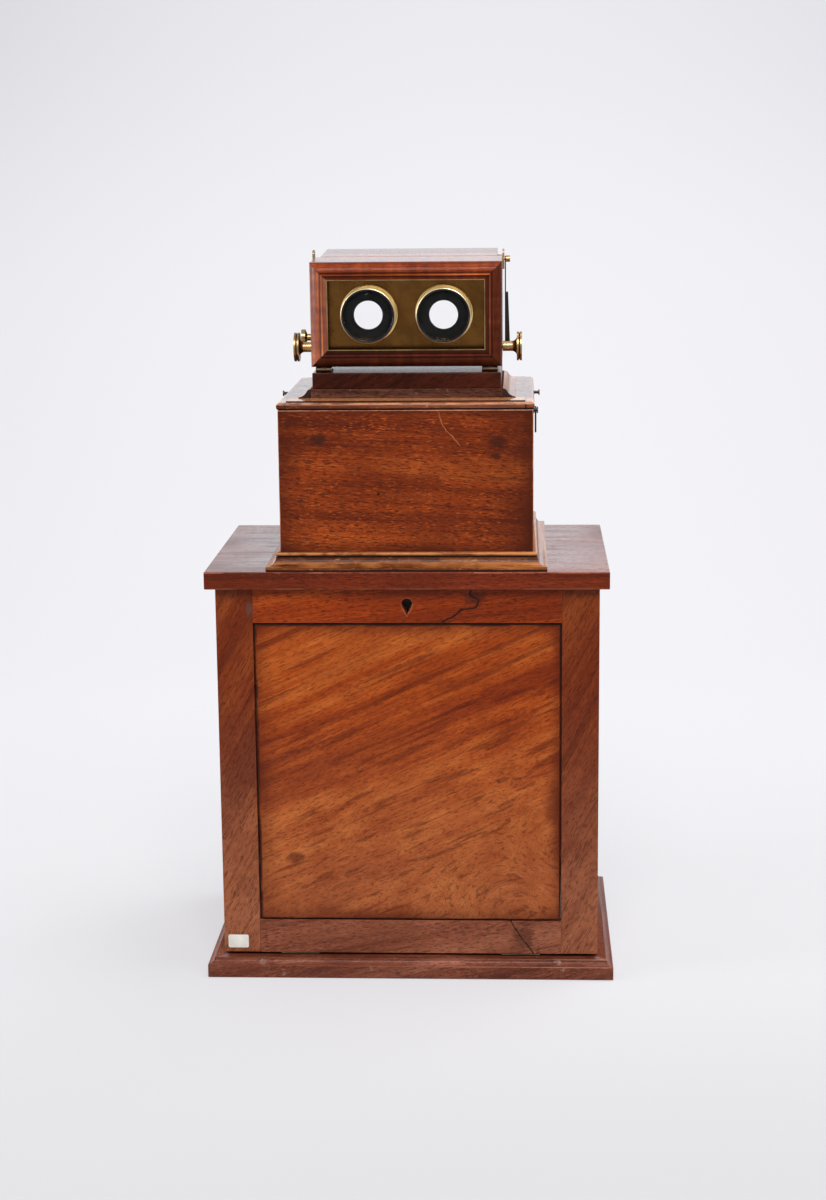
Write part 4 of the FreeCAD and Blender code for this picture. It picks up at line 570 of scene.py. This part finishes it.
gripBlack = paintFinish("gripBlack", (0.008, 0.007, 0.006), (0.2, 0.4))
lensGlass = glassFinish("lensGlass", (1.0, 1.0, 1.0), (0.0, 0.015), 20.0, 1.14)
groundGlass = glassFinish("groundGlass", (1.0, 1.0, 1.0), (0.36, 0.48), 700.0, 1.16)
silvering = mirrorFinish("silvering", (0.83, 0.84, 0.84), (0.42, 0.40, 0.36))
ringBlack = paintFinish("ringBlack", (0.006, 0.006, 0.0065), (0.08, 0.16), 0.25)
slipBrass = brassFinish("slipBrass", (0.36, 0.25, 0.12), (0.11, 0.065, 0.028), 0.8, (0.2, 0.36))
rimBright = brassFinish("rimBright", (0.84, 0.70, 0.46), (0.46, 0.34, 0.18), 0.5, (0.34, 0.46))
labelPaper = paintFinish("labelPaper", tone(196, 194, 186), (0.6, 0.8))
print("metals and glass ready")

# Boards whose CAD shape is right, with their arrises rubbed
softBoards = {
    "door_panel": (panelWood, 0.0008), "door_stiles": (stileWood, 0.0007), "door_top_rail": (topRailWood, 0.0006),
    "door_bottom_rail": (bottomRailWood, 0.0006), "cabinet_sides": (sideWood, 0.0008),
    "cabinet_back": (backWood, 0.0005), "plinth_front": (plinthWood, 0.0008), "plinth_back": (plinthWood, 0.0008),
    "plinth_sides": (plinthSideWood, 0.0008), "case_front": (caseWood, 0.0008), "case_back": (caseWood, 0.0008),
    "case_sides": (caseSideWood, 0.0008), "case_base_long": (mouldWood, 0.0005),
    "case_base_sides": (mouldSideWood, 0.0005), "lid_core": (coreWood, 0.0006), "tilt_board": (shadedBoardWood, 0.0010),
    "lid_ogee_sides": (ogeeSideWood, 0.0004), "lid_ogee_back": (mouldWood, 0.0004),
    "head_floor": (wallWood, 0.0006), "head_left_wall": (wallWood, 0.0006), "head_right_wall": (wallWood, 0.0006),
    "head_top_strip": (flapWood, 0.0006), "reflector_flap": (flapWood, 0.0006),
    "head_back_frame": (frameRightShade, 0.0006), "card_shelves": (insideWood, 0.0006),
    "card_divider": (insideWood, 0.0006),
}
plainArris = {    # boards whose arrises aren't rubbed pale
    # the door panel's arrises take painted shade, as they sit in its gap
    "door_panel": creaseAndGapShade, "door_stiles": stileWood, "door_bottom_rail": bottomRailWood,
    "plinth_front": plinthArris, "plinth_back": plinthArris, "plinth_sides": plinthArris, "lid_core": coreWood,
    "tilt_board": shadedBoardWood, "head_top_strip": flapWood, "reflector_flap": flapWood, "head_left_wall": wallWood,
    "head_right_wall": wallWood, "cabinet_back": backWood, "card_shelves": insideWood, "card_divider": insideWood,
    "lid_ogee_sides": ogeeSideWood,
}
for node, (material, width) in softBoards.items():
    soften(node, material, width, plainArris.get(node, wornAndLitArris))
plainNodes = {
    "cabinet_top": topWood, "cabinet_floor": insideWood, "case_floor": insideWood, "lid_board": lidWood,
    "septum": insideWood, "door_hinge_fixed_leaves": pinBronze, "door_hinge_leaves": pinBronze,
    "lock_case": lockIron, "lock_bolt": lockIron, "hook_screws": blackIron, "latch_hook_left": blackIron,
    "latch_hook_right": blackIron, "latch_pins": pinBronze, "tilt_hinge_board_leaves": pinBronze,
    "tilt_hinge_head_leaves": pinBronze, "tilt_quadrant": knobBrass,
    "flap_pivots": knobBrass, "shaft_bushes": knobBrass, "lens_plate": plateBrass, "lens_tubes": tubeBrass,
    "lens_stops": stopBlack, "lenses": lensGlass, "ground_glass": groundGlass, "reflector_mirror": silvering,
    "focus_racks": hingeBrass, "focus_shaft": lockIron, "focus_pinions": hingeBrass, "focus_knobs": knobBrass,
    "flap_lever": blackIron, "lever_grip": gripBlack, "lever_nut": knobBrass, "tilt_clamp_knob": knobBrass,
}
for node, material in plainNodes.items():
    dress(node, material)
print("boards and nodes dressed")

# Front frame: the mitred lengths, each with its grain along it
frontFrame = {"rub": 0.00055, "highlightTo": -0.003}


def makeFrontFrame(look):
    bm = cadCopy("front_frame")
    flatten(bm)
    arrisHighlight = set(rubEdges(bm, True, look["rub"]))
    for face in bm.faces:    # top 0, left 1, right 2, foot 3; the arrises of the top and left 4 take a painted highlight
        spot = headBack @ face.calc_center_median()
        outX = abs(spot.x) - headOpening["halfX"]
        outZ = abs(spot.z - headOpening["middle"]) - headOpening["halfZ"]
        if outX > outZ:
            face.material_index = 1 if spot.x < 0 else 2
        else:
            face.material_index = 3 if spot.z < headOpening["middle"] else 0
        if face in arrisHighlight and face.material_index < 2 and spot.y < look["highlightTo"]:
            face.material_index = 4
    piece = finishPiece("frontFrame", bm, frameTopWood, "head", ("front_frame",))
    for material in (frameLeftLit, frameRightShade, frameFootShade, wornAndLitArris):
        piece.data.materials.append(material)


makeFrontFrame(frontFrame)

# Black eye rings on the tubes. The profile is in millimetres from the rim
eyeRing = {"profile": ((27.2, 2.6), (27.7, 2.3), (27.7, 0.5), (27.0, -0.45), (26.7, -0.6), (25.6, -0.6), (25.2, -0.35),
                       (25.0, 0.4), (25.0, 1.2)),
           "centres": (-0.0381, 0.0381), "rim": -0.0104, "steps": 120, "bright": (0.02715, 0.02755), "brightTo": 0.0005}


def makeEyeRings(look):
    whole = bmesh.new()
    for x in look["centres"]:
        bm = lathe([(radius / 1000, along / 1000) for radius, along in look["profile"]], look["steps"])
        for face in bm.faces:    # the chamfer at the rim is rubbed bright
            spot = face.calc_center_median()
            if look["bright"][0] < math.hypot(spot.x, spot.z) < look["bright"][1] and spot.y < look["brightTo"]:
                face.material_index = 1
        bmesh.ops.translate(bm, verts=bm.verts, vec=(x, look["rim"], headOpening["middle"]))
        bmesh.ops.transform(bm, matrix=headMatrix, verts=bm.verts)
        mesh = bpy.data.meshes.new("eyeRingHalf")
        bm.to_mesh(mesh)
        bm.free()
        whole.from_mesh(mesh)
        bpy.data.meshes.remove(mesh)
    piece = finishPiece("eyeRings", whole, ringBlack, "carriage", smooth=30.0)
    piece.data.materials.append(rimBright)


makeEyeRings(eyeRing)

# Thin brass slip inside the frame
slip = {"half": (0.0800, 0.0357), "wide": 0.0008, "front": -0.0039, "deep": 0.0008}


def makeSlip(look):
    bm = bmesh.new()
    corners = []
    for x, z in ((-1, -1), (1, -1), (1, 1), (-1, 1)):
        spot = (x * look["half"][0], look["front"], headOpening["middle"] + z * look["half"][1])
        corners.append(bm.verts.new(spot))
    face = bm.faces.new(corners)
    bm.normal_update()    # inset and solidify need the new face's normal
    bmesh.ops.inset_individual(bm, faces=[face], thickness=look["wide"], use_even_offset=True)
    bmesh.ops.delete(bm, geom=[face], context="FACES")
    bm.normal_update()
    bmesh.ops.solidify(bm, geom=bm.faces[:], thickness=look["deep"])
    bmesh.ops.recalc_face_normals(bm, faces=bm.faces)
    bmesh.ops.transform(bm, matrix=headMatrix, verts=bm.verts)
    finishPiece("frameSlip", bm, slipBrass, "head")


makeSlip(slip)
print("front frame, eye rings and slip made")

# Brass ears stand a little taller than the pivots need
tallEars = {"pivot": 0.10485, "above": 0.0024, "rise": 0.0042}


def makeEars(look):
    bm = cadCopy("flap_ears")
    upper = [v for v in bm.verts if (headBack @ v.co).z > look["pivot"] + look["above"]]
    bmesh.ops.translate(bm, verts=upper, vec=headMatrix.to_3x3() @ Vector((0, 0, look["rise"])))
    finishPiece("tallEars", bm, knobBrass, "head", ("flap_ears",))


makeEars(tallEars)

# Blank paper label on the left stile, low down
label = {"low": (-0.1918, 0.0274), "size": (0.0215, 0.0142), "round": 0.002, "lift": 0.00012, "thick": 0.8}


def makeLabel(look):
    bm = bmesh.new()
    corners = []
    for x, z in ((0, 0), (1, 0), (1, 1), (0, 1)):
        spot = (look["low"][0] + x * look["size"][0], doorFace - look["lift"], look["low"][1] + z * look["size"][1])
        corners.append(bm.verts.new(spot))
    bm.faces.new(corners)
    bmesh.ops.bevel(bm, geom=bm.verts[:], offset=look["round"], segments=5, profile=0.5, affect="VERTICES", material=-1)
    bm.normal_update()
    bmesh.ops.solidify(bm, geom=bm.faces[:], thickness=look["lift"] * look["thick"])
    bmesh.ops.recalc_face_normals(bm, faces=bm.faces)
    finishPiece("blankLabel", bm, labelPaper, "door")    # paper: no slot in the record


makeLabel(label)
print("ears and label made")

# Stage: a pale sweep, soft lamps and the camera
sweep = {"front": -2.4, "bend": 1.3, "radius": 1.6, "top": 4.5, "half": 6.0, "floor": -0.0004, "steps": 32,
         "paper": (0.44, 0.44, 0.45), "glow": (1.0, 0.992, 1.035), "power": 1.08}


def rayKinds(s):    # rays straight from the camera, and those by a shine or through glass
    path = s.tree.nodes.new("ShaderNodeLightPath")
    direct, shine, through = [Shade(s.tree, path.outputs["Is " + kind + " Ray"])
                              for kind in ("Camera", "Glossy", "Transmission")]
    return direct, shine.max(through)


def makeSweep(look):
    bm = bmesh.new()
    start = bm.verts.new((-look["half"], look["front"], look["floor"]))
    bend = bm.verts.new((-look["half"], look["bend"], look["floor"]))
    bm.edges.new((start, bend))
    centre = (-look["half"], look["bend"], look["radius"] + look["floor"])
    made = bmesh.ops.spin(bm, geom=[bend], cent=centre, axis=(1, 0, 0), angle=math.pi / 2, steps=look["steps"])
    last = [v for v in made["geom_last"] if isinstance(v, bmesh.types.BMVert)][0]
    high = bm.verts.new((-look["half"], last.co.y, look["top"]))
    bm.edges.new((last, high))
    made = bmesh.ops.extrude_edge_only(bm, edges=bm.edges[:])
    moved = [v for v in made["geom"] if isinstance(v, bmesh.types.BMVert)]
    bmesh.ops.translate(bm, verts=moved, vec=(2 * look["half"], 0, 0))
    bmesh.ops.recalc_face_normals(bm, faces=bm.faces)
    mesh = bpy.data.meshes.new("sweep")
    bm.to_mesh(mesh)
    bm.free()
    mesh.shade_smooth()
    piece = bpy.data.objects.new("sweep", mesh)
    bpy.context.scene.collection.objects.link(piece)
    material, s, surface = newFinish("sweepPaper")
    output = s.tree.nodes["Material Output"]
    paper = s.add("ShaderNodeBsdfDiffuse", {}, {"Color": colour(look["paper"])})
    px, py, pz = s.split(s.add("ShaderNodeTexCoord", out="Object"))
    far = py.max(abs(px) - 0.6).rise(0.05, 1.1)    # away from the object the paper gives its own light
    # painted shade in the glow: dimmer near the front, towards the top and towards the sides
    bright = 0.69 + py.rise(-0.7, 0.1) * 0.25 - far * 0.03
    bright = bright - pz.rise(0.5, 1.3) * 0.07 - (px * px).min(1.3) * far * (0.05 + 0.05 * pz.rise(0.3, 1.3))
    light = s.mix(bright, colour((0, 0, 0)), (*look["glow"], 1.0))
    glow = s.add("ShaderNodeEmission", {}, {"Color": light, "Strength": look["power"]})
    direct, bounced = rayKinds(s)
    both = s.add("ShaderNodeMixShader", {}, {0: direct.max(bounced) * (0.5 + far * 0.32), 1: paper, 2: glow})
    s.tree.links.new(both.socket, output.inputs["Surface"])
    mesh.materials.append(material)


makeSweep(sweep)
lamps = {
    "keyFront": {"at": (0.2, -2.8, 2.9), "aim": (0, 0, 0.4), "size": (1.6, 1.6), "power": 110.0},
    "fillRight": {"at": (2.0, -1.6, 2.2), "aim": (0, 0, 0.4), "size": (1.4, 1.4), "power": 10.0},
    "stripLeft": {"at": (-1.6, -0.5, 1.1), "aim": (0, 0, 0.55), "size": (0.75, 1.2), "power": 18.0},
    "overhead": {"at": (1.1, 0.3, 2.8), "aim": (0, 0, 0.2), "size": (1.8, 1.8), "power": 70.0},
}
for name, look in lamps.items():
    lamp = bpy.data.lights.new(name, "AREA")
    lamp.shape = "RECTANGLE"
    lamp.size, lamp.size_y = look["size"]
    lamp.energy = look["power"]
    holder = bpy.data.objects.new(name, lamp)
    holder.location = look["at"]
    aim = Vector(look["aim"]) - Vector(look["at"])
    holder.rotation_euler = aim.to_track_quat("-Z", "Y").to_euler()
    bpy.context.scene.collection.objects.link(holder)

studio = {"tint": (1.0, 1.0, 1.01), "direct": 0.72, "bounced": 0.88, "low": 0.08, "more": 0.36}


def makeWorld(look):    # seen directly it matches the sweep; as light it is dimmer, most from above
    world = bpy.data.worlds.new("studio")
    bpy.context.scene.world = world
    world.use_nodes = True
    s = Shade(world.node_tree)
    direct, bounced = rayKinds(s)
    upward = s.split(s.add("ShaderNodeTexCoord", out="Generated"))[2]
    lit = look["low"] + upward.rise(-0.15, 0.6) * look["more"]
    strength = direct * look["direct"] + bounced * look["bounced"] + (1 - direct.max(bounced)) * lit
    backdrop = s.tree.nodes["Background"]
    backdrop.inputs["Color"].default_value = (*look["tint"], 1.0)
    s.tree.links.new(strength.socket, backdrop.inputs["Strength"])


makeWorld(studio)

# The photo's camera: place in metres, turns in radians, focal length and height in pixels, film in millimetres
lensView = {"at": (0.1143585, -2.333117, 0.852517), "yaw": 0.049, "pitch": 0.202, "roll": -0.010,
            "focal": 2214.115, "tall": 1200.0, "film": 36.0, "reach": 50.0}


def makeCamera(look):
    yaw, pitch, roll = look["yaw"], look["pitch"], look["roll"]
    ahead = Vector((-math.sin(yaw) * math.cos(pitch), math.cos(yaw) * math.cos(pitch), -math.sin(pitch)))
    right = Vector((math.cos(yaw), math.sin(yaw), 0))
    up = right.cross(ahead)
    side = right * math.cos(roll) + up * math.sin(roll)
    top = up * math.cos(roll) - right * math.sin(roll)
    camera = bpy.data.cameras.new("photoCamera")
    camera.sensor_fit = "VERTICAL"
    camera.sensor_height = look["film"]
    camera.lens = look["focal"] / look["tall"] * look["film"]
    camera.clip_end = look["reach"]
    holder = bpy.data.objects.new("photoCamera", camera)
    turn = Matrix((side, top, -ahead)).transposed().to_4x4()
    holder.matrix_world = Matrix.Translation(look["at"]) @ turn
    bpy.context.scene.collection.objects.link(holder)
    bpy.context.scene.camera = holder


makeCamera(lensView)
bpy.context.scene.view_settings.view_transform = "Standard"
print("stage set")
